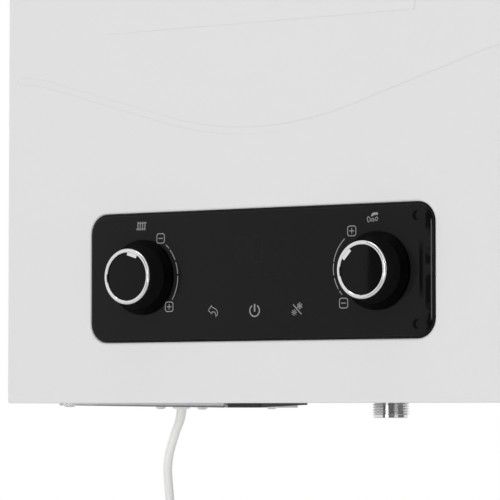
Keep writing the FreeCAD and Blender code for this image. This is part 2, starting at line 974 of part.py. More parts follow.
tray_right = tray_left + s.tray_width
tray_back = floor_front + s.tray_depth
gland_foot_drop = s.tray_drop_left + (s.tray_drop_right - s.tray_drop_left) * (
    (gland_x - tray_left) / s.tray_width
)
gland_y = front + s.gland_from_front


def tray_block(name, left, right, drop_left, drop_right, depth, inset):
    """A block under the floor plate whose lower face slopes, with its walls set in by an inset."""
    body = Body(name)
    outline = body.sketch("XZ_Plane", -floor_front - inset)
    slope_foot = [(left + inset, bottom - drop_left + inset), (right - inset, bottom - drop_right + inset)]
    loop(outline, slope_foot + [(right - inset, floor_under), (left + inset, floor_under)])
    body.pad(outline, depth - 2 * inset, backwards=True)
    return body


def terminal_tray():
    size = (tray_left, tray_right, s.tray_drop_left, s.tray_drop_right, s.tray_depth)
    outer = tray_block("tray_outer", *size, 0 * s.tray_wall)
    inner = tray_block("tray_inner", *size, s.tray_wall)
    neck_foot = bottom - s.tray_drop_right - s.overrun
    neck_depth = s.tray_wall + s.tray_drop_right + 2 * s.overrun
    neck = rod("gland_hole", s.gland_neck + s.bore_clearance, neck_depth, (gland_x, gland_y, neck_foot))
    return cut("terminal_tray", outer.body, inner.body, neck)


terminal_left = tray_right + s.terminal_gap
terminal_right = terminal_left + s.terminal_width


terminal_back = floor_front + s.terminal_depth


def terminal_drop(y):
    """How far the terminal cover, which slopes up to the back, hangs below the casing."""
    share = (y - floor_front) / s.terminal_depth
    return s.tray_drop_right + (s.terminal_drop_back - s.tray_drop_right) * share


def terminal_cover():
    body = Body("terminal_cover")
    outline = body.sketch("YZ_Plane", terminal_left)
    foot = [(y, bottom - terminal_drop(y)) for y in (floor_front, terminal_back)]
    loop(outline, foot + [(terminal_back, floor_under), (floor_front, floor_under)])
    body.pad(outline, s.terminal_width)
    body.soften("Fillet", s.terminal_round, lambda edge: runs_along(edge, "z"))
    return body.body


def tray_drop(x):
    """How far the sloping tray hangs below the casing at a place across it."""
    share = (x - tray_left) / s.tray_width
    return s.tray_drop_left + (s.tray_drop_right - s.tray_drop_left) * share


def tray_screws():
    terminal_x = terminal_right - s.terminal_screw_from_right
    terminal_y = front + s.terminal_screw_from_front
    left_x = gland_x - s.tray_screw_from_gland
    right_x = gland_x + s.tray_screw_from_gland
    spots = [
        (left_x, gland_y, tray_drop(left_x)),
        (right_x, gland_y, tray_drop(right_x)),
        (terminal_x, terminal_y, terminal_drop(terminal_y)),
    ]
    screws = []
    for n, (x, y, drop) in enumerate(spots):
        profile = [
            (0, -s.tray_screw_height),
            (s.tray_screw_face, -s.tray_screw_height),
            (s.tray_screw_head, -s.tray_screw_rim),
            (s.tray_screw_head, -s.tray_screw_seat),
            (0, -s.tray_screw_seat),
        ]
        screws.append(turned(f"tray_screw_{n}", profile, (x, y, bottom - drop)).body)
    return group("tray_screws", *screws)


def cable_gland():
    under = bottom - gland_foot_drop
    bore = s.lead_diameter / 2 + s.bore_clearance
    tray_inside = s.tray_wall + s.tray_screw_sink
    profile = [
        (bore, -s.gland_flange_height - s.bore_clearance),
        (s.gland_flange_face, -s.gland_flange_height - s.bore_clearance),
        (s.gland_flange, -s.gland_flange_height / 2),
        (s.gland_flange, -s.bore_clearance),
        (s.gland_neck, -s.bore_clearance),
        (s.gland_neck, tray_inside),
        (s.gland_nut, tray_inside),
        (s.gland_nut, tray_inside + s.gland_nut_height),
        (s.gland_neck, tray_inside + s.gland_nut_height),
        (s.gland_neck, s.gland_length),
        (bore, s.gland_length),
    ]
    return turned("cable_gland", profile, (gland_x, gland_y, under)).body


# Mains lead: out of the gland, down and into a tied coil that hangs from it, with its plug.

LEAD_ROUTE = [
    (-129.5, -205, -672),
    (-129.5, -205, -690),
    (-133.4, -206.2, -709),
    (-137, -207.4, -725),
    (-137, -207.4, -741),
]


def lead_route():
    """The lead's points, which keep to the gland."""
    mouth = FreeCAD.Vector(float(gland_x), float(gland_y), float(bottom + s.lead_sink))
    shift = mouth - FreeCAD.Vector(*LEAD_ROUTE[0])
    return [FreeCAD.Vector(*point) + shift for point in LEAD_ROUTE]


def lead_path(points):
    """Straight runs joined by arcs as large as the runs allow."""
    points = [FreeCAD.Vector(*point) for point in points]
    edges = []
    start = points[0]
    radii = []
    for before, corner, after in zip(points, points[1:], points[2:]):
        come = corner - before
        leave = after - corner
        reach = ARC_SHARE * min(come.Length, leave.Length)
        half_turn = come.getAngle(leave) / 2
        radius = reach / math.tan(half_turn)
        radii.append(radius)
        come.normalize()
        leave.normalize()
        inner = corner + (leave - come).normalize() * (radius / math.cos(half_turn) - radius)
        edges.append(Part.LineSegment(start, corner - come * reach).toShape())
        edges.append(Part.Arc(corner - come * reach, inner, corner + leave * reach).toShape())
        start = corner + leave * reach
    edges.append(Part.LineSegment(start, points[-1]).toShape())
    print("mains lead radii:", ", ".join(f"{radius:.0f}" for radius in radii))
    return Part.Wire(edges)


def biarc(start, start_way, end, end_way):
    """Two arcs that leave one point along its direction and reach the other along its own."""
    span = end - start
    ways = start_way + end_way
    lead = span.dot(ways)
    rest = 4 - ways.dot(ways)
    reach = (math.sqrt(lead * lead + rest * span.dot(span)) - lead) / rest
    apexes = (start + start_way * reach, end - end_way * reach)
    joint = (apexes[0] + apexes[1]) / 2
    arcs = []
    for near, apex, far in ((start, apexes[0], joint), (joint, apexes[1], end)):
        middle = (near + far) / 2
        cosine = (middle - near).Length / reach
        arcs.append(Part.Arc(near, apex + (middle - apex) / (1 + cosine), far).toShape())
    return arcs


class Coil:
    """The tied coil: its turns lie side by side round an axis that points to the wall."""

    def __init__(self):
        self.radius = float(s.coil_radius)
        self.pitch = float(s.coil_pitch)
        self.bend = float(s.coil_bend_radius)
        self.straight = float(s.lead_diameter)
        self.join = lead_route()[-1]
        entry = math.radians(float(s.coil_entry_angle))
        self.entry = entry
        self.bend_start = self.join - FreeCAD.Vector(0, 0, self.straight)
        across = self.bend * (1 - math.cos(entry))
        down = self.bend * math.sin(entry)
        self.bend_end = self.bend_start + FreeCAD.Vector(-across, 0, -down)
        self.start_angle = math.pi - entry
        aside = FreeCAD.Vector(math.cos(self.start_angle), 0, math.sin(self.start_angle))
        self.centre = self.bend_end - aside * self.radius
        turn = 2 * math.pi * float(s.coil_turns)
        self.end_angle = self.start_angle + turn + math.radians(float(s.coil_exit_angle))

    def depth(self, angle):
        """How far a place on the turns has stepped towards the wall."""
        share = (angle - self.start_angle) / (self.end_angle - self.start_angle)
        rise = self.pitch * (self.end_angle - self.start_angle) / (2 * math.pi)
        return rise * share

    def spot(self, angle):
        aside = FreeCAD.Vector(math.cos(angle), 0, math.sin(angle)) * self.radius
        return self.centre + aside + FreeCAD.Vector(0, self.depth(angle), 0)

    def way(self, angle):
        if abs(angle - self.start_angle) < NEAR or abs(angle - self.end_angle) < NEAR:
            climb = 0
        else:
            climb = self.pitch / (2 * math.pi * self.radius)
        return FreeCAD.Vector(-math.sin(angle), climb, math.cos(angle)).normalize()

    def path(self):
        edges = [Part.LineSegment(self.join, self.bend_start).toShape()]
        half = self.entry / 2
        middle = self.bend_start + FreeCAD.Vector(
            -self.bend * (1 - math.cos(half)), 0, -self.bend * math.sin(half)
        )
        edges.append(Part.Arc(self.bend_start, middle, self.bend_end).toShape())
        steps = max(1, round((self.end_angle - self.start_angle) / (math.pi / 2)))
        angles = [
            self.start_angle + (self.end_angle - self.start_angle) * n / steps for n in range(steps + 1)
        ]
        for near, far in zip(angles, angles[1:]):
            edges += biarc(self.spot(near), self.way(near), self.spot(far), self.way(far))
        edges.append(Part.LineSegment(self.spot(self.end_angle), self.tail_end()).toShape())
        return Part.Wire(edges)

    def tail_end(self):
        return self.spot(self.end_angle) + self.way(self.end_angle) * float(s.tail_length)


def least_gap(path, diameter):
    """The least gap of a tube to itself, between points more than half a turn apart."""
    step = float(s.lead_diameter) / 3
    points = path.discretize(Distance=step)
    apart = round(float(s.coil_radius) * math.pi / step)
    least = min(
        (one - other).Length for n, one in enumerate(points) for other in points[n + apart:]
    )
    return least - diameter


def mains_lead():
    return tube("mains_lead", lead_path(lead_route()), s.lead_diameter / 2)


def lead_coil(coil):
    path = coil.path()
    print(f"lead coil: least gap to itself {least_gap(path, float(s.lead_diameter)):.2f} mm")
    return tube("lead_coil", path, s.lead_diameter / 2)


def lead_tie(coil):
    """A strap round the turns at the top of the coil."""
    half_lead = float(s.lead_diameter) / 2 + float(s.tie_play)
    wall = float(s.tie_wall)
    first = math.pi * 5 / 2
    last = first + 2 * math.pi * (float(s.coil_turns) - 1)
    near = coil.centre.y + coil.depth(first) - half_lead
    far = coil.centre.y + coil.depth(last) + half_lead
    low = coil.centre.z + coil.radius - half_lead
    width = float(s.tie_width)
    corner = FreeCAD.Vector(coil.centre.x - width / 2, near, low)
    hole = Part.makeBox(width, far - near, 2 * half_lead, corner)
    band = Part.makeBox(
        width, far - near + 2 * wall, 2 * (half_lead + wall), corner - FreeCAD.Vector(0, wall, wall)
    )
    piece = doc.addObject("Part::Feature", "lead_tie")
    piece.Shape = band.cut(hole)
    return piece


def mains_plug(coil):
    """A round moulded plug with two pins, in line with the coil's free end."""
    profile = [
        (0, 0),
        (s.plug_neck_start, 0),
        (s.plug_neck_radius, s.plug_neck_length),
        (s.plug_radius, s.plug_neck_length + s.plug_round),
        (s.plug_radius, s.plug_neck_length + s.plug_body_length),
        (0, s.plug_neck_length + s.plug_body_length),
    ]
    body = turned("plug_body", profile, (0, 0, 0))
    body.soften(
        "Fillet",
        s.plug_round,
        lambda edge: not edge.Degenerated
        and isinstance(edge.Curve, Part.Circle)
        and abs(edge.Curve.Radius - float(s.plug_radius)) < NEAR,
    )
    face = s.plug_neck_length + s.plug_body_length
    pins = [
        rod(
            f"plug_pin_{n}",
            s.plug_pin_radius,
            s.plug_pin_length,
            (0, s.plug_pin_spacing / 2 * side, face),
        )
        for n, side in enumerate((-1, 1))
    ]
    piece = fuse("mains_plug", body.body, *pins)
    rotation = FreeCAD.Rotation(FreeCAD.Vector(0, 0, 1), coil.way(coil.end_angle))
    piece.Placement = FreeCAD.Placement(coil.tail_end(), rotation)
    return piece


# Control panel: a gloss fascia on a plastic box, with the display and the two rotary encoders.


def knob_x(side):
    """A knob's middle: -1 is the left one, 1 the right."""
    return s.knob_offset + s.knob_spacing / 2 * side


def control_panel():
    body = Body("panel_fascia")
    half = s.panel_width / 2
    outline = body.sketch("XZ_Plane", -panel_back)
    low = panel_middle - s.panel_height / 2
    rectangle(outline, side_by_side(half), (low, low + s.panel_height))
    body.pad(outline, s.panel_thickness)
    body.soften("Fillet", s.panel_round, lambda edge: runs_along(edge, "y"))
    body.soften("Fillet", s.panel_edge, lambda edge: lies_at(edge, y=panel_front))
    outline = body.sketch("XZ_Plane", -panel_front + s.overrun)
    for side in (-1, 1):
        radius = s.shaft_radius + s.running_clearance
        circle(outline, radius, (knob_x(side), panel_middle))
    body.pocket(outline, s.panel_thickness + 2 * s.overrun)
    outline = body.sketch("XZ_Plane", -panel_back)
    post_high = s.panel_height / 2 - s.panel_post_inset
    for side in (-1, 1):
        for level in (-1, 1):
            centre = (s.panel_post_x * side, panel_middle + post_high * level)
            circle(outline, s.panel_post_radius, centre)
    body.pad(outline, s.board_gap, backwards=True)
    body.body.Label = "control_panel"
    return body.body


box_half = s.panel_width / 2 - s.box_inset
box_high = s.panel_height / 2 - s.box_inset
box_back = panel_back + s.box_depth
main_board_back = box_back - s.box_wall - s.main_board_post


def control_box():
    body = Body("box_tub")
    outline = body.sketch("XZ_Plane", -panel_back)
    high = (panel_middle - box_high, panel_middle + box_high)
    rectangle(outline, side_by_side(box_half), high)
    body.pad(outline, s.box_depth, backwards=True)
    outline = body.sketch("XZ_Plane", -panel_back)
    inner = box_half - s.box_wall
    high = (panel_middle - box_high + s.box_wall, panel_middle + box_high - s.box_wall)
    rectangle(outline, side_by_side(inner), high)
    body.pocket(outline, s.box_depth - s.box_wall)
    body.soften(
        "Fillet",
        s.panel_round - s.box_inset - s.box_wall,
        lambda edge: runs_along(edge, "y") and any(lies_at(edge, x=inner * side) for side in (-1, 1)),
    )
    body.soften(
        "Fillet",
        s.panel_round - s.box_inset,
        lambda edge: runs_along(edge, "y") and any(lies_at(edge, x=box_half * side) for side in (-1, 1)),
    )
    pieces = []
    ear_back = case_front + s.casing_sheet
    for side, name in ((-1, "left"), (1, "right")):
        across = sorted((box_half * side, (inside - s.casing_seam) * side), key=float)
        deep = (ear_back, ear_back + s.ear_sheet)
        high = (panel_middle - s.ear_height / 2, panel_middle + s.ear_height / 2)
        pieces.append(box(f"{name}_ear", across, deep, high))
        for level, word in ((-1, "low"), (1, "high")):
            foot = (
                (s.main_board_width / 2 - s.panel_post_inset) * side,
                box_back - s.box_wall,
                panel_middle + (s.main_board_height / 2 - s.panel_post_inset) * level,
            )
            pieces.append(rod(f"{name}_{word}_post", s.panel_post_radius, s.main_board_post, foot, "front"))
    return fuse("control_box", body.body, *pieces)


def display_board():
    board_front = panel_back + s.board_gap
    half = box_half - s.box_wall - s.board_inset
    half_high = box_high - s.box_wall - s.board_inset
    deep = (board_front, board_front + s.board_thickness)
    high = (panel_middle - half_high, panel_middle + half_high)
    sheet = box("display_sheet", side_by_side(half), deep, high)
    module = box(
        "display_module",
        side_by_side(s.display_width / 2),
        (board_front - s.display_rise, board_front),
        (panel_middle - s.display_height / 2, panel_middle + s.display_height / 2),
    )
    return fuse("display_board", sheet, module)


def main_board():
    half = s.main_board_width / 2
    half_high = s.main_board_height / 2
    board_front = main_board_back - s.board_thickness
    deep = (board_front, main_board_back)
    high = (panel_middle - half_high, panel_middle + half_high)
    sheet = box("main_sheet", side_by_side(half), deep, high)
    transformer = box(
        "transformer",
        (-half + s.board_inset, -half + s.board_inset + s.transformer_side),
        (board_front - s.transformer_height, board_front),
        (panel_middle - s.transformer_side / 2, panel_middle + s.transformer_side / 2),
    )
    relays = []
    for n in range(int(float(s.relay_count))):
        left = s.relay_pitch * n
        across = (left, left + s.relay_length)
        deep = (board_front - s.relay_width, board_front)
        low = panel_middle - half_high + s.board_inset
        relays.append(box(f"relay_{n}", across, deep, (low, low + s.relay_width)))
    return fuse("main_board", sheet, transformer, *relays)


def encoders():
    board_front = panel_back + s.board_gap
    rings = []
    for side, name in ((-1, "left"), (1, "right")):
        middle = knob_x(side)
        half = s.encoder_side / 2
        deep = (panel_back, board_front)
        high = (panel_middle - half, panel_middle + half)
        block = box(f"{name}_encoder_block", (middle - half, middle + half), deep, high)
        foot = (middle, panel_back - s.overrun, panel_middle)
        bore = rod(
            f"{name}_encoder_bore",
            s.shaft_radius + s.bore_clearance,
            s.overrun + s.board_gap - s.board_thickness,
            foot,
            "back",
        )
        rings.append(cut(f"{name}_encoder", block, bore))
    return group("encoders", *rings)


# Knobs: a flared black knob with a bright ring, whose inward tab is the pointer, round a set-back cap.


def knob_place(piece, side, angle):
    """Stands a piece on the fascia with its own +Y at the pointer's clock angle."""
    turn = FreeCAD.Rotation(FreeCAD.Vector(0, 0, 1), -float(angle))
    foot = (knob_x(side), panel_front - s.knob_lift, panel_middle)
    place(piece, foot, WAYS["front"].multiply(turn))


def rings_at(edge, radius, level):
    """Whether an edge is the circle of a radius at a height."""
    if edge.Degenerated or not isinstance(edge.Curve, Part.Circle):
        return False
    wide = abs(edge.Curve.Radius - float(radius)) < NEAR
    return wide and abs(edge.Curve.Center.z - float(level)) < NEAR


def knob_set(name, side, angle):
    bore = s.shaft_radius + s.bore_clearance
    profile = [
        (bore, 0),
        (s.knob_skirt_radius, 0),
        (s.knob_skirt_radius, s.knob_skirt_edge),
        (s.knob_grip_base, s.knob_flare_height),
        (s.knob_grip_top, s.knob_seat),
        (0, s.knob_seat),
        (0, s.shaft_grip),
        (bore, s.shaft_grip),
    ]
    knob = turned(f"{name}_knob", profile, (0, 0, 0)).body

    ring_inner = s.ring_radius - s.ring_width
    ring_top = s.knob_seat + s.ring_height
    ring = Body(f"{name}_knob_ring")
    outline = ring.sketch("XZ_Plane")
    loop(
        outline,
        [
            (ring_inner, s.knob_seat),
            (s.ring_radius, s.knob_seat),
            (s.ring_radius, ring_top),
            (ring_inner + s.ring_bevel, ring_top),
            (ring_inner, ring_top - s.ring_bevel),
        ],
    )
    ring.turn(outline)
    ring.soften("Fillet", s.ring_round, lambda edge: rings_at(edge, s.ring_radius, ring_top))
    cap_top = ring_top - s.cap_recess
    outline = ring.sketch("XY_Plane", cap_top)
    half = s.pointer_width / 2
    rectangle(outline, side_by_side(half), (ring_inner - s.pointer_depth, ring_inner + s.pointer_root))
    ring.pad(outline, s.cap_recess - s.pointer_recess)

    cap_radius = ring_inner - s.bore_clearance
    cap_foot = [(0, s.knob_seat), (cap_radius, s.knob_seat), (cap_radius, cap_top), (0, cap_top)]
    cap = turned(f"{name}_knob_cap", cap_foot, (0, 0, 0)).body

    shaft_back = s.knob_lift + s.panel_thickness + s.board_gap - s.board_thickness - s.running_clearance
    shaft_profile = [
        (0, -shaft_back),
        (s.shaft_radius, -shaft_back),
        (s.shaft_radius, s.shaft_grip),
        (0, s.shaft_grip),
    ]
    shaft = turned(f"{name}_shaft", shaft_profile, (0, 0, 0)).body
    pieces = (knob, ring.body, cap, shaft)
    for piece in pieces:
        knob_place(piece, side, angle)
    return pieces


# Combustion chamber: an open-fronted sheet box with a beaded lid, round the hearth and the fan.

chamber_half = half_width - s.chamber_side_gap
hearth_half = chamber_half - s.hearth_side_gap
riser_x = chamber_half - s.riser_inset
hearth_front = chamber_front + s.hearth_gap
hearth_back = chamber_back - s.hearth_gap
leg_height = s.burner_leg * height_scale
burner_height = s.burner_height * height_scale
burner_foot = chamber_foot + s.chamber_sheet + leg_height
hearth_foot = burner_foot + burner_height
hearth_top = hearth_foot + s.hearth_height * height_scale
exchanger_top = hearth_top + s.fin_stack_height * height_scale
manifold_y = hearth_front - s.manifold_from_burner - s.manifold_radius
manifold_z = burner_foot + burner_height / 2


def chamber_shell():
    deep = (chamber_front, chamber_back)
    outer = box("chamber_outer", side_by_side(chamber_half), deep, (chamber_foot, roof))
    wall = s.chamber_sheet
    inner = box(
        "chamber_inner",
        side_by_side(chamber_half - wall),
        (chamber_front - s.overrun, chamber_back - wall),
        (chamber_foot + wall, roof - wall),
    )
    depth = wall + 2 * s.overrun
    flue = rod("chamber_flue_hole", s.flue_hole_radius, depth, (s.flue_x, flue_y, roof - wall - s.overrun))
    cuts = [inner, flue]
    spots = [(-riser_x, flue_y), (riser_x, flue_y), (gas_x, manifold_y)]
    for n, (x, y) in enumerate(spots):
        radius = s.pipe_radius + s.pipe_hole_clearance
        cuts.append(rod(f"chamber_pipe_hole_{n}", radius, depth, (x, y, chamber_foot - s.overrun)))
    return cut("chamber_shell", outer, *cuts)


def chamber_cover():
    """The lid, with a pressed bead round it and the sight hole."""
    body = Body("chamber_cover")
    outline = body.sketch("XZ_Plane", -chamber_front)
    lid_top = roof - s.chamber_sheet
    rectangle(outline, side_by_side(chamber_half), (chamber_foot, lid_top))
    body.pad(outline, s.chamber_sheet)
    outline = body.sketch("XZ_Plane", -chamber_front + s.chamber_sheet)
    for inset in (s.lid_bead_inset, s.lid_bead_inset + s.lid_bead_width):
        high = (chamber_foot + inset, lid_top - inset)
        rectangle(outline, side_by_side(chamber_half - inset), high)
    body.pad(outline, s.lid_bead_step)
    outline = body.sketch("XZ_Plane", -chamber_front + s.chamber_sheet + s.overrun)
    circle(outline, s.sight_hole, (0, chamber_foot + s.sight_height + s.lid_bead_inset))
    body.pocket(outline, s.chamber_sheet + 2 * s.overrun)
    return body.body


def sight_glass():
    foot = (0, chamber_front - s.chamber_sheet, chamber_foot + s.sight_height + s.lid_bead_inset)
    return rod("sight_glass", s.sight_radius, s.sight_thickness, foot, "front")


def combustion_box():
    high = (hearth_foot, hearth_top)
    wall = s.chamber_sheet
    outer = box("hearth_outer", side_by_side(hearth_half), (hearth_front, hearth_back), high)
    inner = box(
        "hearth_inner",
        side_by_side(hearth_half - wall),
        (hearth_front + wall, hearth_back - wall),
        (hearth_foot - s.overrun, hearth_top + s.overrun),
    )
    return cut("combustion_box", outer, inner, *electrode_holes("box", wall))


def electrode_spots():
    return [(s.electrode_spacing / 2 * side, hearth_foot + s.electrode_rise) for side in (-1, 1)]


def electrode_holes(name, depth):
    radius = s.electrode_radius + s.running_clearance
    length = depth + 2 * s.overrun
    start = hearth_front - s.overrun
    return [
        rod(f"{name}_electrode_hole_{n}", radius, length, (x, start, z), "back")
        for n, (x, z) in enumerate(electrode_spots())
    ]


def insulation_panels():
    wall = s.chamber_sheet
    high = (hearth_foot, hearth_top)
    half = hearth_half - wall
    outer = box("lining_outer", side_by_side(half), (hearth_front + wall, hearth_back - wall), high)
    inner = box(
        "lining_inner",
        side_by_side(half - s.hearth_lining),
        (hearth_front + wall + s.hearth_lining, hearth_back - wall - s.hearth_lining),
        (hearth_foot - s.overrun, hearth_top + s.overrun),
    )
    return cut("insulation_panels", outer, inner, *electrode_holes("lining", s.hearth_lining))


def heat_exchanger():
    """A finned copper block: a water core through a row of thin fins between two end plates."""
    body = Body("heat_exchanger")
    plate = s.exchanger_side
    outline = body.sketch("YZ_Plane", -hearth_half)
    margin = s.fin_margin
    deep = (hearth_front + margin, hearth_back - margin)
    rectangle(outline, deep, (hearth_top + margin, exchanger_top - margin))
    body.pad(outline, 2 * hearth_half)
    for lift in (-hearth_half, hearth_half - plate):
        outline = body.sketch("YZ_Plane", lift)
        rectangle(outline, (hearth_front, hearth_back), (hearth_top, exchanger_top))
        body.pad(outline, plate)
    step = (2 * hearth_half - 2 * plate) / (s.fin_count + 1)
    outline = body.sketch("YZ_Plane", -hearth_half + plate + step - s.fin_thickness / 2)
    rectangle(outline, (hearth_front, hearth_back), (hearth_top, exchanger_top))
    fin = body.pad(outline, s.fin_thickness)
    body.repeat([fin], outline, "N_Axis", step * (s.fin_count - 1), s.fin_count)
    return body.body


def burner():
    """A row of blade burners with slotted tops, between two rails on four legs."""
    body = Body("burner")
    blade = s.burner_blade_thickness
    rail_half = hearth_half
    first = -hearth_half + s.hearth_lining + s.burner_rail
    step = (2 * -first - blade) / (s.burner_blades - 1)
    inner_front = hearth_front + s.burner_rail
    inner_back = hearth_back - s.burner_rail
    outline = body.sketch("YZ_Plane", first)
    rectangle(outline, (inner_front, inner_back), (burner_foot, hearth_foot))
    pad = body.pad(outline, blade)
    outline = body.sketch("XY_Plane", burner_foot)
    rectangle(outline, side_by_side(rail_half), (hearth_front, inner_front))
    rectangle(outline, side_by_side(rail_half), (inner_back, hearth_back))
    body.pad(outline, burner_height)
    outline = body.sketch("XY_Plane", hearth_foot + s.overrun)
    pitch = (inner_back - inner_front) / (s.burner_ports + 1)
    port_half = s.burner_port_length / 2
    middle = first + blade / 2
    for n in range(1, int(float(s.burner_ports)) + 1):
        centre = inner_front + pitch * n
        port = (centre - s.burner_port_width / 2, centre + s.burner_port_width / 2)
        rectangle(outline, (middle - port_half, middle + port_half), port)
    ports = body.pocket(outline, s.burner_port_depth + s.overrun)
    row = body.sketch("YZ_Plane", first)
    body.repeat([pad, ports], row, "N_Axis", step * (s.burner_blades - 1), s.burner_blades)
    outline = body.sketch("XY_Plane", burner_foot)
    for side in (-1, 1):
        for rail in ((hearth_front, inner_front), (inner_back, hearth_back)):
            across = sorted((rail_half * side, (rail_half - s.burner_leg) * side), key=float)
            rectangle(outline, across, rail)
    body.pad(outline, leg_height, backwards=True)
    return body.body


def gas_manifold():
    bar_half = hearth_half - s.manifold_inset
    bar_foot = (-bar_half, manifold_y, manifold_z)
    bar = rod("manifold_bar", s.manifold_radius, 2 * bar_half, bar_foot, "right")
    boss_foot = (gas_x, manifold_y, manifold_z - s.manifold_boss_drop)
    boss = rod("manifold_boss", s.manifold_boss_radius, s.manifold_boss_drop, boss_foot)
    blade = s.burner_blade_thickness
    first = -hearth_half + s.hearth_lining + s.burner_rail + blade / 2
    count = int(float(s.burner_blades))
    step = -2 * first / (s.burner_blades - 1)
    nozzles = [
        rod(
            f"nozzle_{n}",
            s.nozzle_radius,
            s.manifold_radius + s.manifold_from_burner,
            (first + step * n, manifold_y, manifold_z),
            "back",
        )
        for n in range(count)
    ]
    return fuse("gas_manifold", bar, boss, *nozzles)


def electrodes():
    rods = []
    reach = s.chamber_sheet + s.hearth_lining
    for n, (x, z) in enumerate(electrode_spots()):
        outer = hearth_front - s.electrode_flange
        flange_foot = (x, outer, z)
        ceramic_foot = (x, hearth_front + reach + s.electrode_radius, z)
        ceramic = rod(f"ceramic_{n}", s.electrode_radius, s.electrode_length, ceramic_foot, "front")
        radius = s.electrode_flange_radius
        flange = rod(f"electrode_flange_{n}", radius, s.electrode_flange, flange_foot, "back")
        length = s.electrode_wire_length
        wire = rod(f"electrode_wire_{n}", s.electrode_wire_radius, length, ceramic_foot, "back")
        rods.append(fuse(f"electrode_{n}", ceramic, flange, wire))
    return group("electrodes", *rods)


# Flue hood and fan: the hood narrows to a throat behind the fan, whose spigot goes through the roof.

throat_back = chamber_back - s.throat_gap
throat_front = flue_y + s.fan_depth / 2
throat_foot = exchanger_top + s.hood_rise * height_scale
throat_half = s.throat_width / 2
fan_x = -s.fan_x
fan_z = top - s.fan_drop * height_scale
fan_radius = s.fan_radius * height_scale
fan_inlet_radius = s.fan_inlet_radius * height_scale
impeller_radius = s.impeller_radius * height_scale
impeller_inner_radius = s.impeller_inner_radius * height_scale


def hood_wedge(name, inset):
    """A tapered block from the heat exchanger's outline to the throat's."""
    piece = doc.addObject("Part::Wedge", name)
    values = {
        "Xmin": -hearth_half + inset,
        "Xmax": hearth_half - inset,
        "X2min": fan_x - throat_half + inset,
        "X2max": fan_x + throat_half - inset,
        "Ymin": exchanger_top,
        "Ymax": throat_foot,
        "Zmin": -hearth_back + inset,
        "Zmax": -hearth_front - inset,
        "Z2min": -throat_back + inset,
        "Z2max": -throat_front - inset,
    }
    for word, size in values.items():
        bind(piece, word, size)
    piece.Placement = FreeCAD.Placement(FreeCAD.Vector(), WAYS["front"])
    return piece


def flue_hood():
    sheet = s.hood_sheet
    throat_top = throat_foot + s.throat_height * height_scale
    across = (fan_x - throat_half, fan_x + throat_half)
    deep = (throat_front, throat_back)
    throat = box("throat_outer", across, deep, (throat_foot, throat_top))
    outer = fuse("hood_outer", hood_wedge("hood_taper", 0 * sheet), throat)
    inner_throat = box(
        "throat_inner",
        (across[0] + sheet, across[1] - sheet),
        (deep[0] + sheet, deep[1] - sheet),
        (throat_foot, throat_top - sheet),
    )
    inlet_foot = (fan_x, throat_front - s.overrun, fan_z)
    inlet = rod("throat_inlet", fan_inlet_radius, s.overrun * 2 + sheet, inlet_foot, "back")
    return cut("flue_hood", outer, hood_wedge("hood_hollow", sheet), inner_throat, inlet)


fan_front = throat_front - s.fan_depth


def fan_housing():
    """A round scroll with a rising outlet duct and the flue spigot on top."""
    sheet = s.fan_sheet
    scroll = rod("scroll_outer", fan_radius, s.fan_depth, (fan_x, throat_front, fan_z), "front")
    half = s.fan_outlet_width / 2
    spigot_foot = roof - s.spigot_foot - sheet
    duct_across = (s.flue_x - half, s.flue_x + half)
    duct = box("duct_outer", duct_across, (fan_front, throat_front), (fan_z, spigot_foot))
    plate = rod("spigot_plate", s.spigot_radius, sheet, (s.flue_x, flue_y, spigot_foot))
    spigot_top = top + s.spigot_rise
    tube_height = spigot_top - spigot_foot
    spigot = rod("spigot_outer", s.spigot_radius, tube_height, (s.flue_x, flue_y, spigot_foot))
    outer = fuse("fan_outer", scroll, duct, plate, spigot)
    hollow_depth = s.fan_depth - 2 * sheet
    scroll_foot = (fan_x, throat_front - sheet, fan_z)
    hollow = rod("scroll_inner", fan_radius - sheet, hollow_depth, scroll_foot, "front")
    duct_hollow = box(
        "duct_inner",
        (duct_across[0] + sheet, duct_across[1] - sheet),
        (fan_front + sheet, throat_front - sheet),
        (fan_z, spigot_foot),
    )
    bore_radius = (s.fan_depth - 2 * sheet) / 2
    bore = rod("spigot_throat", bore_radius, sheet + s.overrun, (s.flue_x, flue_y, spigot_foot - s.overrun))
    wide_foot = (s.flue_x, flue_y, spigot_foot + sheet)
    wide = rod("spigot_bore", s.spigot_radius - s.spigot_wall, tube_height, wide_foot)
    inlet_foot = (fan_x, throat_front + s.overrun, fan_z)
    inlet = rod("fan_inlet", fan_inlet_radius, s.overrun * 2 + sheet, inlet_foot, "front")
    shaft_foot = (fan_x, fan_front - s.overrun, fan_z)
    shaft_radius = s.fan_shaft_radius + s.running_clearance
    shaft = rod("fan_shaft_hole", shaft_radius, s.overrun * 2 + sheet, shaft_foot, "back")
    return cut("fan_housing", outer, hollow, duct_hollow, bore, wide, inlet, shaft)


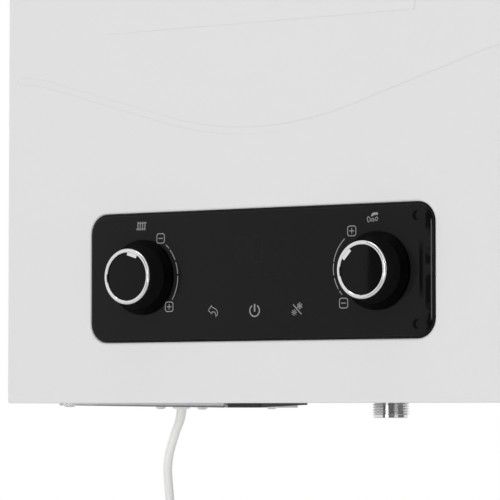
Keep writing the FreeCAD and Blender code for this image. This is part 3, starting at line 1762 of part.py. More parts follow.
def fan_impeller():
    """A back-plate with a ring of blades, on its shaft."""
    body = Body("fan_impeller")
    outline = body.sketch("XZ_Plane")
    hub = s.impeller_depth
    profile = [
        (0, -s.fan_shaft_reach),
        (s.fan_shaft_radius, -s.fan_shaft_reach),
        (s.fan_shaft_radius, 0),
        (impeller_radius, 0),
        (impeller_radius, s.impeller_plate),
        (s.impeller_hub, s.impeller_plate),
        (s.impeller_hub, hub / 2),
        (0, hub / 2),
    ]
    loop(outline, profile)
    body.turn(outline)
    outline = body.sketch("XY_Plane")
    half = s.impeller_blade_thickness / 2
    rectangle(outline, (impeller_inner_radius, impeller_radius), (-half, half))
    blade = body.pad(outline, s.impeller_depth)
    ring = body.feature("PolarPattern", "blades")
    ring.Originals = [blade]
    ring.Axis = (outline, ["N_Axis"])
    ring.Angle = 360
    bind(ring, "Occurrences", s.impeller_blades)
    body.body.Tip = ring
    outline = body.sketch("XY_Plane", s.impeller_depth - s.impeller_plate)
    circle(outline, impeller_radius, (0, 0))
    circle(outline, impeller_inner_radius, (0, 0))
    body.pad(outline, s.impeller_plate)
    middle = (s.fan_depth - s.impeller_depth) / 2
    place(body.body, (fan_x, fan_front + middle, fan_z), WAYS["back"])
    return body.body


def fan_motor():
    length = fan_front - chamber_front - s.fan_motor_gap
    profile = [
        (s.fan_shaft_radius + s.bore_clearance, 0),
        (s.fan_motor_foot_radius, 0),
        (s.fan_motor_foot_radius, s.fan_motor_foot),
        (s.fan_motor_radius, s.fan_motor_foot),
        (s.fan_motor_radius, length - s.fan_motor_round),
        (s.fan_motor_radius - s.fan_motor_round, length),
        (0, length),
        (0, s.fan_shaft_reach),
        (s.fan_shaft_radius + s.bore_clearance, s.fan_shaft_reach),
    ]
    return turned("fan_motor", profile, (fan_x, fan_front, fan_z), "front").body


def air_pressure_switch():
    rim = s.switch_rim
    middle = s.switch_depth / 2
    profile = [
        (0, 0),
        (s.switch_radius - rim, 0),
        (s.switch_radius - rim, middle - rim / 2),
        (s.switch_radius, middle - rim / 2),
        (s.switch_radius, middle + rim / 2),
        (s.switch_radius - rim, middle + rim / 2),
        (s.switch_radius - 2 * rim, s.switch_depth),
        (s.switch_port_radius, s.switch_depth),
        (s.switch_port_radius, s.switch_depth + s.switch_port_length),
        (0, s.switch_depth + s.switch_port_length),
    ]
    foot = (chamber_half - s.switch_inset, chamber_back - s.chamber_sheet, top - s.switch_drop)
    return turned("air_pressure_switch", profile, foot, "front").body


# Gas side: the threaded stub under the floor, the valve on it and the pipe to the manifold.


def gas_stub():
    drop = s.floor_rise + s.floor_sheet + s.gas_stub_drop
    radius = s.thread_large
    bore = radius - s.stub_wall
    profile = [
        (bore, -drop),
        (radius - s.stub_end_bevel, -drop),
        (radius, -drop + s.stub_end_bevel),
        (radius, 0),
        (s.gas_collar_radius, 0),
        (s.gas_collar_radius, s.gas_collar_height),
        (bore, s.gas_collar_height),
    ]
    return turned("gas_stub", profile, (gas_x, connection_y, floor_top)).body


gas_valve_foot = floor_top + s.gas_collar_height
gas_valve_top = gas_valve_foot + s.gas_valve_height


def gas_valve():
    half = connection_pitch - s.block_overhang - s.gas_valve_gap
    body = box(
        "gas_valve_body",
        (gas_x - half, gas_x + half),
        (connection_y - s.gas_valve_front, connection_y + s.gas_valve_back),
        (gas_valve_foot, gas_valve_top - s.gas_valve_cap_height),
    )
    outlet_foot = (gas_x, connection_y, gas_valve_top - s.gas_valve_cap_height)
    outlet = rod("gas_valve_outlet", s.gas_valve_cap_radius, s.gas_valve_cap_height, outlet_foot)
    coils = [
        rod(
            f"gas_coil_{n}",
            s.gas_coil_radius,
            s.gas_coil_height,
            (
                gas_x + s.gas_coil_spacing / 2 * side,
                connection_y - s.gas_valve_front,
                gas_valve_foot + s.gas_valve_height / 2,
            ),
            "front",
        )
        for n, side in enumerate((-1, 1))
    ]
    return fuse("gas_valve", body, outlet, *coils)


def gas_pipe():
    turn_z = gas_valve_top + s.gas_pipe_run
    points = [
        (gas_x, connection_y, gas_valve_top),
        (gas_x, connection_y, turn_z),
        (gas_x, manifold_y, turn_z),
        (gas_x, manifold_y, manifold_z - s.manifold_boss_drop),
    ]
    return tube("gas_pipe", tube_path(points, float(s.pipe_bend)), s.pipe_radius)


# Water side: two brass blocks with the stubs, the plate heat exchanger, the pump and the valves.

water_stub_foot = bottom + s.water_stub_rise
block_top = floor_top + s.block_height


def water_block(name, stubs, bores):
    """A brass block on the floor plate with two threaded stubs through it."""
    first_x = stubs[0][0] if float(stubs[0][0]) < float(stubs[1][0]) else stubs[1][0]
    left = first_x - (block_width - connection_pitch) / 2
    body = Body(f"{name}_body")
    outline = body.sketch("XZ_Plane", s.connection_from_wall + s.block_depth / 2)
    right = left + block_width
    bevel = s.block_bevel
    corners = [
        (left, floor_top),
        (right, floor_top),
        (right, block_top - bevel),
        (right - bevel, block_top),
        (left + bevel, block_top),
        (left, block_top - bevel),
    ]
    loop(outline, corners)
    body.pad(outline, s.block_depth, backwards=True)
    drop = floor_top - water_stub_foot
    pieces = []
    cuts = list(bores)
    for n, (x, radius) in enumerate(stubs):
        bore = radius - s.stub_wall
        profile = [
            (0, -drop),
            (radius - s.stub_end_bevel, -drop),
            (radius, -drop + s.stub_end_bevel),
            (radius, 0),
            (0, 0),
        ]
        pieces.append(turned(f"{name}_stub_{n}", profile, (x, connection_y, floor_top)).body)
        foot = (x, connection_y, water_stub_foot - s.overrun)
        cuts.append(rod(f"{name}_bore_{n}", bore, drop + s.overrun + s.block_shoulder, foot))
    return cut(name, fuse(f"{name}_solid", body.body, *pieces), *cuts)


spindle_x = connection_x(-2)


def flow_block():
    stubs = [(connection_x(-2), s.thread_large), (connection_x(-1), s.thread_small)]
    foot = (spindle_x, connection_y, block_top - s.spindle_sink - s.spindle_travel)
    depth = s.spindle_sink + s.spindle_travel + s.overrun
    bore = rod("spindle_bore", s.spindle_radius + s.running_clearance, depth, foot)
    return water_block("flow_block", stubs, [bore])


tap_x = connection_x(1) + connection_pitch / 2


def return_block():
    stubs = [(connection_x(1), s.thread_small), (connection_x(2), s.thread_large)]
    foot = (tap_x, connection_y, floor_top - s.overrun)
    depth = s.tap_stem_sink + s.overrun + s.tap_knob_gap
    bore = rod("tap_bore", s.tap_stem_radius + s.bore_clearance, depth, foot)
    return water_block("return_block", stubs, [bore])


block_back = connection_y + s.block_depth / 2


def plate_exchanger():
    """A brazed plate stack, with the plates' edges as grooves round it."""
    body = Body("plate_exchanger")
    low = floor_top + s.plate_stack_gap
    middle = gas_x
    half = s.plate_stack_width / 2
    outline = body.sketch("XZ_Plane", -block_back)
    rectangle(outline, (middle - half, middle + half), (low, low + s.plate_stack_height))
    body.pad(outline, s.plate_stack_depth, backwards=True)
    step = s.plate_stack_depth / (s.plate_grooves + 1)
    outline = body.sketch("XZ_Plane", -block_back - step)
    for inset in (-s.overrun, s.plate_groove_depth):
        across = (middle - half + inset, middle + half - inset)
        rectangle(outline, across, (low + inset, low + s.plate_stack_height - inset))
    groove = body.pocket(outline, s.plate_groove)
    body.repeat([groove], outline, "N_Axis", step * (s.plate_grooves - 1), s.plate_grooves)
    body.body.Tip.Reversed = True
    doc.recompute()
    return body.body


pump_x = connection_x(2) - s.pump_offset
pump_z = block_top + s.pump_port_rise + s.pump_radius
pump_front = connection_y - s.pump_depth / 2
pump_top = pump_z + s.pump_radius + s.pump_port_rise
pump_motor_length = pump_front - box_back - s.pump_motor_gap


def pump_housing():
    """The pump's volute between its two ports, with the motor can in front."""
    volute_foot = (pump_x, connection_y + s.pump_depth / 2, pump_z)
    volute = rod("volute", s.pump_radius, s.pump_depth, volute_foot, "front")
    can = turned(
        "pump_can",
        [
            (0, 0),
            (s.pump_motor_radius, 0),
            (s.pump_motor_radius, pump_motor_length - s.pump_motor_round),
            (s.pump_motor_radius - s.pump_motor_round, pump_motor_length),
            (0, pump_motor_length),
        ],
        (pump_x, pump_front, pump_z),
        "front",
    ).body
    port_length = 2 * (s.pump_radius + s.pump_port_rise)
    ports = rod("pump_ports", s.pump_port_radius, port_length, (pump_x, connection_y, block_top))
    hollow_foot = (pump_x, connection_y + s.pump_depth / 2 - s.pump_wall, pump_z)
    hollow_depth = s.pump_depth - 2 * s.pump_wall
    hollow = rod("pump_hollow", s.pump_radius - s.pump_wall, hollow_depth, hollow_foot, "front")
    bore_foot = (pump_x, pump_front + s.pump_wall + s.overrun, pump_z)
    bore_length = s.pump_wall + s.overrun + s.pump_shaft_reach
    bore = rod("pump_bore", s.pump_shaft_radius + s.bore_clearance, bore_length, bore_foot, "front")
    return cut("pump_housing", fuse("pump_solid", volute, can, ports), hollow, bore)


def pump_rotor():
    """The impeller disc with its vanes, on its shaft in the motor."""
    body = Body("pump_rotor")
    outline = body.sketch("XZ_Plane")
    plate = s.pump_rotor_plate
    profile = [
        (0, -s.pump_shaft_reach),
        (s.pump_shaft_radius, -s.pump_shaft_reach),
        (s.pump_shaft_radius, 0),
        (s.pump_rotor_radius, 0),
        (s.pump_rotor_radius, plate),
        (s.pump_shaft_radius * 2, plate),
        (s.pump_shaft_radius * 2, s.pump_rotor_depth),
        (0, s.pump_rotor_depth),
    ]
    loop(outline, profile)
    body.turn(outline)
    outline = body.sketch("XY_Plane")
    half = s.pump_vane_thickness / 2
    rectangle(outline, (s.pump_shaft_radius, s.pump_rotor_radius), (-half, half))
    vane = body.pad(outline, s.pump_rotor_depth)
    ring = body.feature("PolarPattern", "vanes")
    ring.Originals = [vane]
    ring.Axis = (outline, ["N_Axis"])
    ring.Angle = 360
    bind(ring, "Occurrences", s.pump_vanes)
    body.body.Tip = ring
    doc.recompute()
    foot_y = pump_front + s.pump_wall + (s.pump_depth - 2 * s.pump_wall - s.pump_rotor_depth) / 2
    place(body.body, (pump_x, foot_y, pump_z), WAYS["back"])
    return body.body


def diverter_motor():
    body = Body("diverter_case")
    outline = body.sketch("XY_Plane", block_top)
    half = s.diverter_width / 2
    deep = s.diverter_depth / 2
    rectangle(outline, (spindle_x - half, spindle_x + half), (connection_y - deep, connection_y + deep))
    body.pad(outline, s.diverter_height)
    body.soften(
        "Fillet",
        s.diverter_round,
        lambda edge: runs_along(edge, "z") or lies_at(edge, z=block_top + s.diverter_height),
    )
    depth = s.spindle_rise + s.spindle_travel + s.running_clearance
    outline = body.sketch("XY_Plane", block_top)
    circle(outline, s.spindle_radius + s.bore_clearance, (spindle_x, connection_y))
    body.pocket(outline, depth, backwards=True)
    body.body.Label = "diverter_motor"
    return body.body


def diverter_spindle():
    foot = (spindle_x, connection_y, block_top - s.spindle_sink)
    return rod("diverter_spindle", s.spindle_radius, s.spindle_sink + s.spindle_rise, foot)


block_right = connection_x(2) + (block_width - connection_pitch) / 2


def safety_valve():
    level = floor_top + s.block_height / 2
    profile = [
        (0, 0),
        (s.safety_body_radius, 0),
        (s.safety_body_radius, s.safety_body_length),
        (s.safety_cap_radius, s.safety_body_length),
        (s.safety_cap_radius, s.safety_body_length + s.safety_cap_length),
        (0, s.safety_body_length + s.safety_cap_length),
    ]
    body = turned("safety_body", profile, (block_right, connection_y, level), "right").body
    outlet_foot = (block_right + s.safety_body_length / 2, connection_y, level - s.safety_outlet_drop)
    outlet = rod("safety_outlet", s.safety_outlet_radius, s.safety_outlet_drop, outlet_foot)
    return fuse("safety_valve", body, outlet)


def filling_tap():
    """The filling tap's knurled knob under the floor plate, on a stem in the return block."""
    knob_top = -s.floor_sheet - s.tap_knob_gap
    profile = [
        (0, knob_top - s.tap_knob_height),
        (s.tap_knob_face, knob_top - s.tap_knob_height),
        (s.tap_knob_radius, knob_top - s.tap_knob_height + s.tap_knob_bevel),
        (s.tap_knob_radius, knob_top),
        (s.tap_stem_radius, knob_top),
        (s.tap_stem_radius, s.tap_stem_sink),
        (0, s.tap_stem_sink),
    ]
    return turned("filling_tap", profile, (tap_x, connection_y, floor_top)).body


# Expansion vessel: a flat round tank behind the chamber, with its hose to the return block.

vessel_radius = rail_x - s.vessel_gap
vessel_z = roof - s.vessel_top_gap - vessel_radius
vessel_front = plate_front - s.vessel_depth


def expansion_vessel():
    middle = s.vessel_depth / 2
    edge = s.vessel_seam / 2
    body = turned(
        "vessel_tank",
        [
            (0, 0),
            (s.vessel_seat_radius, 0),
            (s.vessel_dome_radius, edge),
            (vessel_radius - s.vessel_seam, s.vessel_shoulder),
            (vessel_radius - edge, middle - edge),
            (vessel_radius, middle - edge),
            (vessel_radius, middle + edge),
            (vessel_radius - edge, middle + edge),
            (vessel_radius - s.vessel_seam, s.vessel_depth - s.vessel_shoulder),
            (s.vessel_dome_radius, s.vessel_depth - edge),
            (s.vessel_seat_radius, s.vessel_depth),
            (0, s.vessel_depth),
        ],
        (0, plate_front, vessel_z),
        "front",
    ).body
    foot = (0, plate_front - middle, vessel_z - vessel_radius - s.vessel_boss_length)
    boss_length = s.vessel_boss_length + s.vessel_seam
    boss = rod("vessel_boss", s.vessel_boss_radius, boss_length, foot)
    return fuse("expansion_vessel", body, boss)


def vessel_hose():
    start_z = vessel_z - vessel_radius - s.vessel_boss_length
    y = plate_front - s.vessel_depth / 2
    low = block_top + s.vessel_hose_rise
    block_x = connection_x(1) - s.block_overhang + s.vessel_hose_inset
    block_y = connection_y + s.vessel_hose_back
    points = [
        (0, y, start_z),
        (0, y, low),
        (block_x, block_y, low),
        (block_x, block_y, block_top),
    ]
    return tube("vessel_hose", tube_path(points, float(s.vessel_hose_bend)), s.vessel_hose_radius)


def riser(name, side, port_x, port_z):
    """A pipe from one end of the heat exchanger down through the chamber's floor."""
    level = (hearth_top + exchanger_top) / 2
    low = chamber_foot - s.riser_sink
    points = [
        (hearth_half * side, flue_y, level),
        (riser_x * side, flue_y, level),
        (riser_x * side, flue_y, low),
        (port_x, connection_y, low),
        (port_x, connection_y, port_z),
    ]
    return tube(name, tube_path(points, float(s.pipe_bend)), s.pipe_radius)


def build():
    coil = Coil()
    pieces = {
        "wall_bracket": wall_bracket(),
        "back_frame": back_frame(),
        "left_side_panel": side_panel("left_side_panel", -1),
        "right_side_panel": side_panel("right_side_panel", 1),
        "top_panel": top_panel(),
        "air_inlet_cover": air_inlet_cover(),
        "front_cover": front_cover(),
        "cover_screws": cover_screws(),
        "floor_plate": floor_plate(),
        "terminal_tray": terminal_tray(),
        "terminal_cover": terminal_cover(),
        "tray_screws": tray_screws(),
        "cable_gland": cable_gland(),
        "mains_lead": mains_lead(),
        "lead_coil": lead_coil(coil),
        "lead_tie": lead_tie(coil),
        "mains_plug": mains_plug(coil),
        "control_panel": control_panel(),
        "control_box": control_box(),
        "display_board": display_board(),
        "main_board": main_board(),
        "encoders": encoders(),
        "chamber_shell": chamber_shell(),
        "chamber_cover": chamber_cover(),
        "sight_glass": sight_glass(),
        "combustion_box": combustion_box(),
        "insulation_panels": insulation_panels(),
        "heat_exchanger": heat_exchanger(),
        "burner": burner(),
        "gas_manifold": gas_manifold(),
        "electrodes": electrodes(),
        "flue_hood": flue_hood(),
        "fan_housing": fan_housing(),
        "fan_impeller": fan_impeller(),
        "fan_motor": fan_motor(),
        "air_pressure_switch": air_pressure_switch(),
        "gas_stub": gas_stub(),
        "gas_valve": gas_valve(),
        "gas_pipe": gas_pipe(),
        "flow_block": flow_block(),
        "return_block": return_block(),
        "plate_exchanger": plate_exchanger(),
        "pump_housing": pump_housing(),
        "pump_rotor": pump_rotor(),
        "diverter_motor": diverter_motor(),
        "diverter_spindle": diverter_spindle(),
        "safety_valve": safety_valve(),
        "filling_tap": filling_tap(),
        "expansion_vessel": expansion_vessel(),
        "vessel_hose": vessel_hose(),
        "flow_pipe": riser("flow_pipe", -1, connection_x(-1), block_top),
        "return_pipe": riser("return_pipe", 1, pump_x, pump_top),
    }
    words = ("_knob", "_knob_ring", "_knob_cap", "_shaft")
    knobs = (("heating", -1, s.heating_pointer_angle), ("hot_water", 1, s.hot_water_pointer_angle))
    for name, side, angle in knobs:
        for word, piece in zip(words, knob_set(name, side, angle)):
            pieces[name + word] = piece
    return pieces


def write(pieces):
    """Writes each piece once the whole document is sound."""
    doc.recompute()
    faults = [one.Name for one in doc.Objects if {"Invalid", "Error"} & set(one.State)]
    for name, piece in pieces.items():
        piece.Label = name
        if piece.Shape.isNull() or not piece.Shape.isValid() or not piece.Shape.Solids:
            faults.append(name)
    if faults:
        raise ValueError("unsound: " + ", ".join(faults))
    os.makedirs("parts", exist_ok=True)
    for name, piece in pieces.items():
        piece.Shape.exportStep(f"parts/{name}.step")


write(build())
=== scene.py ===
import json
import math

import bmesh
import bpy
from bpy.props import FloatProperty, FloatVectorProperty, IntProperty, PointerProperty
from mathutils import Matrix, Vector

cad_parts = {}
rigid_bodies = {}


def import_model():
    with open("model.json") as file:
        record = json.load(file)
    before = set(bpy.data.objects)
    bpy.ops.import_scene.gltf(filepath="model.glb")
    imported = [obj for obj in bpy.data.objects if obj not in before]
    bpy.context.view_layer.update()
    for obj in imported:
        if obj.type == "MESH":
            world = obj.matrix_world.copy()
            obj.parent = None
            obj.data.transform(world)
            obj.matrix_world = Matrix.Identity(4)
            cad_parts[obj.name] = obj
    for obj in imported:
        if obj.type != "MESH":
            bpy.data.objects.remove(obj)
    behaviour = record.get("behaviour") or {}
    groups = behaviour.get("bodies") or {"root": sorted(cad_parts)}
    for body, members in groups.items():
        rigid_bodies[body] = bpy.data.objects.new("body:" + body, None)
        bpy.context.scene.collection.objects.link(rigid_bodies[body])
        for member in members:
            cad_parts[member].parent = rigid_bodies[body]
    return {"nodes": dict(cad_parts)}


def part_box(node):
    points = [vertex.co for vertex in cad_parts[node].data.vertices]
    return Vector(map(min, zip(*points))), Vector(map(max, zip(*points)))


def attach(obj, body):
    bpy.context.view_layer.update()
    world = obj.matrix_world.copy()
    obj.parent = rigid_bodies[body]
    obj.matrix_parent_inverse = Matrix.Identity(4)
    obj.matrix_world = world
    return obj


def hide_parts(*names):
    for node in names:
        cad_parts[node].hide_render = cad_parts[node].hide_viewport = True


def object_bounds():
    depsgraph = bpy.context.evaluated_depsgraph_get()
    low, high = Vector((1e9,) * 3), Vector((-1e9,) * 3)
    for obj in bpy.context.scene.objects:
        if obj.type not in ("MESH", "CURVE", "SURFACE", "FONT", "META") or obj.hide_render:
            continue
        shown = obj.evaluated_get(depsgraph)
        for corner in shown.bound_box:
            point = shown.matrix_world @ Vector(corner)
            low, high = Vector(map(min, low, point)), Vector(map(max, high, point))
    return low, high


bl_info = {
    "name": "Wall Boiler",
    "version": (1, 0, 0),
    "blender": (4, 5, 0),
    "location": "View3D > Sidebar > Boiler",
    "description": "Finishes, printed marks, threads and mains lead of a wall-hung gas boiler",
    "category": "Object",
}

for leftover in list(bpy.data.objects):
    bpy.data.objects.remove(leftover)

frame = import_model()
CAD_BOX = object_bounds()

MM = 0.001
TURN = 2 * math.pi
FACING_FRONT = Matrix.Rotation(math.pi / 2, 4, "X")
FACING_DOWN = Matrix.Rotation(math.pi, 4, "X")
SAME_POINT = 1e-6
CREASE = math.radians(32)

panel_low, panel_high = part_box("control_panel")
PANEL_FACE = Vector((0, panel_low.y, (panel_low.z + panel_high.z) / 2))
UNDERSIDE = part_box("front_cover")[0].z


def middle_of(node):
    low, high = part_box(node)
    return (low + high) / 2


# Settings


class BoilerView(bpy.types.PropertyGroup):
    place: FloatVectorProperty(
        name="Place",
        description="Where the camera stands",
        default=(1.1948, -2.0330, -0.6847),
        subtype="TRANSLATION",
        unit="LENGTH",
        precision=4,
    )
    turn: FloatProperty(
        name="Turn",
        description="How far the camera looks to the left of straight ahead",
        default=math.radians(34.7),
        subtype="ANGLE",
    )
    lift: FloatProperty(
        name="Lift",
        description="How far the camera looks up",
        default=math.radians(2.86),
        subtype="ANGLE",
    )
    lens: FloatProperty(
        name="Lens", description="Focal length on a 36 mm sensor", default=230.8, unit="CAMERA"
    )


class BoilerLight(bpy.types.PropertyGroup):
    surround: FloatProperty(
        name="Surround", description="Light of the pale room on matt surfaces", default=0.50, min=0
    )
    key: FloatProperty(
        name="Key", description="Power of the large lamp in front", default=34.6, unit="POWER"
    )
    fill: FloatProperty(
        name="Fill", description="Power of each lamp at the sides", default=12, unit="POWER"
    )
    top: FloatProperty(
        name="Top", description="Power of the lamp above", default=15, unit="POWER"
    )
    floor: FloatVectorProperty(
        name="Floor", description="Colour of the floor", default=(0.90, 0.90, 0.90), subtype="COLOR"
    )


class BoilerColours(bpy.types.PropertyGroup):
    paint: FloatVectorProperty(
        name="Paint", description="White powder coat", default=(0.80, 0.80, 0.80), subtype="COLOR"
    )
    fascia: FloatVectorProperty(
        name="Fascia", description="Gloss black panel", default=(0.0135, 0.0135, 0.0135), subtype="COLOR"
    )
    knob: FloatVectorProperty(
        name="Knob", description="Satin black of the grips", default=(0.004, 0.004, 0.004), subtype="COLOR"
    )
    chrome: FloatVectorProperty(
        name="Chrome", description="Plated rings", default=(0.72, 0.72, 0.73), subtype="COLOR"
    )
    ink: FloatVectorProperty(
        name="Ink", description="Grey ink of the printed marks", default=(0.30, 0.30, 0.30), subtype="COLOR"
    )
    sheath: FloatVectorProperty(
        name="Sheath", description="Sheath of the mains lead", default=(0.88, 0.88, 0.87), subtype="COLOR"
    )


class BoilerMarks(bpy.types.PropertyGroup):
    stroke: FloatProperty(
        name="Stroke", description="Width of a printed line", default=0.58 * MM, unit="LENGTH", precision=5
    )
    film: FloatProperty(
        name="Film", description="Thickness of the ink", default=0.04 * MM, unit="LENGTH", precision=6
    )
    box: FloatProperty(
        name="Box", description="Side of the boxes round plus and minus", default=6.9 * MM, unit="LENGTH"
    )
    heating_scale: FloatProperty(
        name="Heating scale",
        description="Radius of the heating knob's scale",
        default=28.4 * MM,
        unit="LENGTH",
    )
    hot_water_scale: FloatProperty(
        name="Hot water scale",
        description="Radius of the hot water knob's scale",
        default=24.9 * MM,
        unit="LENGTH",
    )


class BoilerThread(bpy.types.PropertyGroup):
    pitch: FloatProperty(
        name="Pitch", description="14 threads to the inch", default=1.814 * MM, unit="LENGTH", precision=6
    )
    depth: FloatProperty(
        name="Depth", description="From crest to root", default=1.4 * MM, unit="LENGTH", precision=5
    )
    steps: IntProperty(name="Steps", description="Faces round one turn", default=64, min=12)


class BoilerLead(bpy.types.PropertyGroup):
    diameter: FloatProperty(
        name="Diameter", description="Round sheath", default=6.4 * MM, unit="LENGTH", precision=5
    )
    coil_radius: FloatProperty(
        name="Coil radius", description="To the middle of the lead", default=40 * MM, unit="LENGTH"
    )
    coil_turns: FloatProperty(name="Turns", description="Turns in the tied coil", default=4 + 40 / 360)
    coil_pitch: FloatProperty(
        name="Pitch", description="From one turn to the next", default=7.1 * MM, unit="LENGTH", precision=5
    )
    coil_start: FloatProperty(
        name="Start",
        description="Where the lead joins the coil",
        default=math.radians(120),
        subtype="ANGLE",
    )
    turn_points: IntProperty(name="Points", description="Points of one turn", default=16, min=12)
    tail: FloatProperty(
        name="Tail", description="From the coil to the plug", default=32 * MM, unit="LENGTH"
    )


SETTINGS = {
    "boiler_view": BoilerView,
    "boiler_light": BoilerLight,
    "boiler_colours": BoilerColours,
    "boiler_marks": BoilerMarks,
    "boiler_thread": BoilerThread,
    "boiler_lead": BoilerLead,
}


# Shapes


def since(shape, before):
    """The points that were added to a shape since a set of them was taken."""
    return [point for point in shape.verts if point not in before]


def lines_of(points):
    """The edges that meet at some points, each once, in the order of the points."""
    return list(dict.fromkeys(line for point in points for line in point.link_edges))


def faces_of(points):
    """The faces that meet at some points, each once, in the order of the points."""
    return list(dict.fromkeys(face for point in points for face in point.link_faces))


def only(kind, parts):
    """The points, or the edges, among the parts that an operator gives back."""
    return [part for part in parts if isinstance(part, kind)]


def bevel(shape, parts, offset, segments, affect="EDGES"):
    """Rounds edges or corners evenly."""
    bmesh.ops.bevel(
        shape, geom=parts, offset=offset, segments=segments, profile=0.5, affect=affect, material=-1
    )


def plate(shape, matrix):
    """A flat square with sides of 1, put in its place. Gives its corners."""
    return bmesh.ops.create_grid(shape, x_segments=1, y_segments=1, size=0.5, matrix=matrix)["verts"]


def hollow(shape, faces, width):
    """Leaves a rim round flat faces and takes out what it encloses."""
    bmesh.ops.inset_region(shape, faces=faces, thickness=width, use_boundary=True, use_even_offset=True)
    bmesh.ops.delete(shape, geom=faces, context="FACES")


def thicken(shape, faces, way):
    """Draws flat faces out into a body."""
    raised = bmesh.ops.extrude_face_region(shape, geom=faces)["geom"]
    bmesh.ops.translate(shape, vec=way, verts=only(bmesh.types.BMVert, raised))


def in_metres(profile):
    """A profile of (radius, height) points, written in millimetres, in metres."""
    return [(radius * MM, height * MM) for radius, height in profile]


def open_line(shape, spots):
    """Points joined by edges from each to the next."""
    points = [shape.verts.new(spot) for spot in spots]
    return points + [shape.edges.new(pair) for pair in zip(points, points[1:])]


def lathe(shape, profile, steps=64, matrix=Matrix()):
    """Turns a line of (radius, height) points round the upright axis, then puts it in its place."""
    before = set(shape.verts)
    line = open_line(shape, [(radius, 0, height) for radius, height in profile])
    bmesh.ops.spin(
        shape, geom=line, cent=(0, 0, 0), axis=(0, 0, 1), angle=TURN, steps=steps, use_merge=True
    )
    bmesh.ops.remove_doubles(shape, verts=since(shape, before), dist=SAME_POINT)
    bmesh.ops.transform(shape, matrix=matrix, verts=since(shape, before))


def block(shape, low, high, edge, segments=3):
    """A box between two corners with its edges rounded."""
    low, high = Vector(low), Vector(high)
    matrix = Matrix.Translation((low + high) / 2) @ Matrix.Diagonal((*(high - low), 1))
    made = bmesh.ops.create_cube(shape, size=1, matrix=matrix)["verts"]
    bevel(shape, lines_of(made), edge, segments)


def hex_nut(shape, across, height, matrix):
    """A six-sided nut with bevelled rims, standing on its own foot."""
    before = set(shape.verts)
    radius = across / math.sqrt(3)
    foot = bmesh.ops.create_circle(shape, cap_ends=True, radius=radius, segments=6)["verts"]
    thicken(shape, faces_of(foot[:1]), (0, 0, height))
    bevel(shape, lines_of(since(shape, before)), across / 20, 2)
    bmesh.ops.transform(shape, matrix=matrix, verts=since(shape, before))


def rounded_band(shape, size, corner, wall, depth, matrix):
    """A flat band round a rounded rectangle, with a wall's width and a depth."""
    before = set(shape.verts)
    corners = plate(shape, Matrix.Diagonal((*size, 1, 1)))
    bevel(shape, corners, corner, 6, "VERTICES")
    hollow(shape, faces_of(since(shape, before)), wall)
    thicken(shape, faces_of(since(shape, before)), (0, 0, depth))
    bmesh.ops.transform(shape, matrix=matrix, verts=since(shape, before))


def cross_screw(shape, head, height, shank, length, matrix, steps=24):
    """A domed screw with a cross recess: its seat at nought, its head upwards and its shank down."""
    before = set(shape.verts)
    face = head * 0.58
    profile = [
        (0, -length),
        (shank * 0.6, -length),
        (shank, -length + shank * 0.6),
        (shank, 0),
        (head, 0),
        (head, height * 0.3),
        (head * 0.95, height * 0.55),
        (head * 0.82, height * 0.82),
        (face, height),
    ]
    lathe(shape, profile, steps)
    rim = [line for line in lines_of(since(shape, before)) if line.is_boundary]
    arm, reach = face * 0.2, face * 0.78
    corners = []
    for turn in range(4):
        way = Matrix.Rotation(turn * TURN / 4, 3, "Z")
        corners += [way @ Vector((x, y, height)) for x, y in ((reach, -arm), (reach, arm), (arm, arm))]
    points = [shape.verts.new(corner) for corner in corners]
    cross = [shape.edges.new(pair) for pair in zip(points, points[1:] + points[:1])]
    bmesh.ops.bridge_loops(shape, edges=rim + cross)
    sunk = bmesh.ops.extrude_edge_only(shape, edges=cross)["geom"]
    shrink = Matrix.Translation((0, 0, -height * 0.75)) @ Matrix.Diagonal((0.7, 0.7, 1, 1))
    bmesh.ops.transform(shape, matrix=shrink, verts=only(bmesh.types.BMVert, sunk))
    bmesh.ops.contextual_create(shape, geom=only(bmesh.types.BMEdge, sunk))
    bmesh.ops.transform(shape, matrix=matrix, verts=since(shape, before))


def thread(shape, crest, low, high, bore, settings, matrix):
    """A screw thread between two levels of a pipe end. One flat end wrongly lies across the bore."""
    before = set(shape.verts)
    pitch = settings.pitch
    root = crest - settings.depth
    turns = math.ceil((high - low) / pitch) + 2
    tooth = [(root, 0), (crest, 0.32), (crest, 0.46), (root, 0.78), (root, 1)]
    bmesh.ops.spin(
        shape,
        geom=open_line(shape, [(radius, 0, low - pitch + share * pitch) for radius, share in tooth]),
        cent=(0, 0, 0),
        axis=(0, 0, 1),
        dvec=(0, 0, pitch / settings.steps),
        angle=TURN * turns,
        steps=settings.steps * turns,
    )
    bmesh.ops.remove_doubles(shape, verts=since(shape, before), dist=SAME_POINT)
    for level, way in ((low, -1), (high, 1)):
        made = since(shape, before)
        bmesh.ops.bisect_plane(
            shape,
            geom=made + lines_of(made) + faces_of(made),
            plane_co=(0, 0, level),
            plane_no=(0, 0, way),
            clear_outer=True,
        )
    bore_rims = []
    for level in (low, high):
        ends = [
            line
            for line in shape.edges
            if line.is_boundary and all(abs(point.co.z - level) < SAME_POINT for point in line.verts)
        ]
        hole = bmesh.ops.create_circle(
            shape, radius=bore, segments=settings.steps, matrix=Matrix.Translation((0, 0, level))
        )["verts"]
        circle = lines_of(hole)
        bmesh.ops.bridge_loops(shape, edges=ends + circle)
        bore_rims += circle
    bmesh.ops.bridge_loops(shape, edges=bore_rims)
    bmesh.ops.transform(shape, matrix=matrix, verts=since(shape, before))


def place_shape(shape, name, material):
    """A new object of a finished shape in one material."""
    mesh = bpy.data.meshes.new(name)
    shape.to_mesh(mesh)
    shape.free()
    mesh.materials.append(material)
    placed = bpy.data.objects.new(name, mesh)
    bpy.context.scene.collection.objects.link(placed)
    return placed


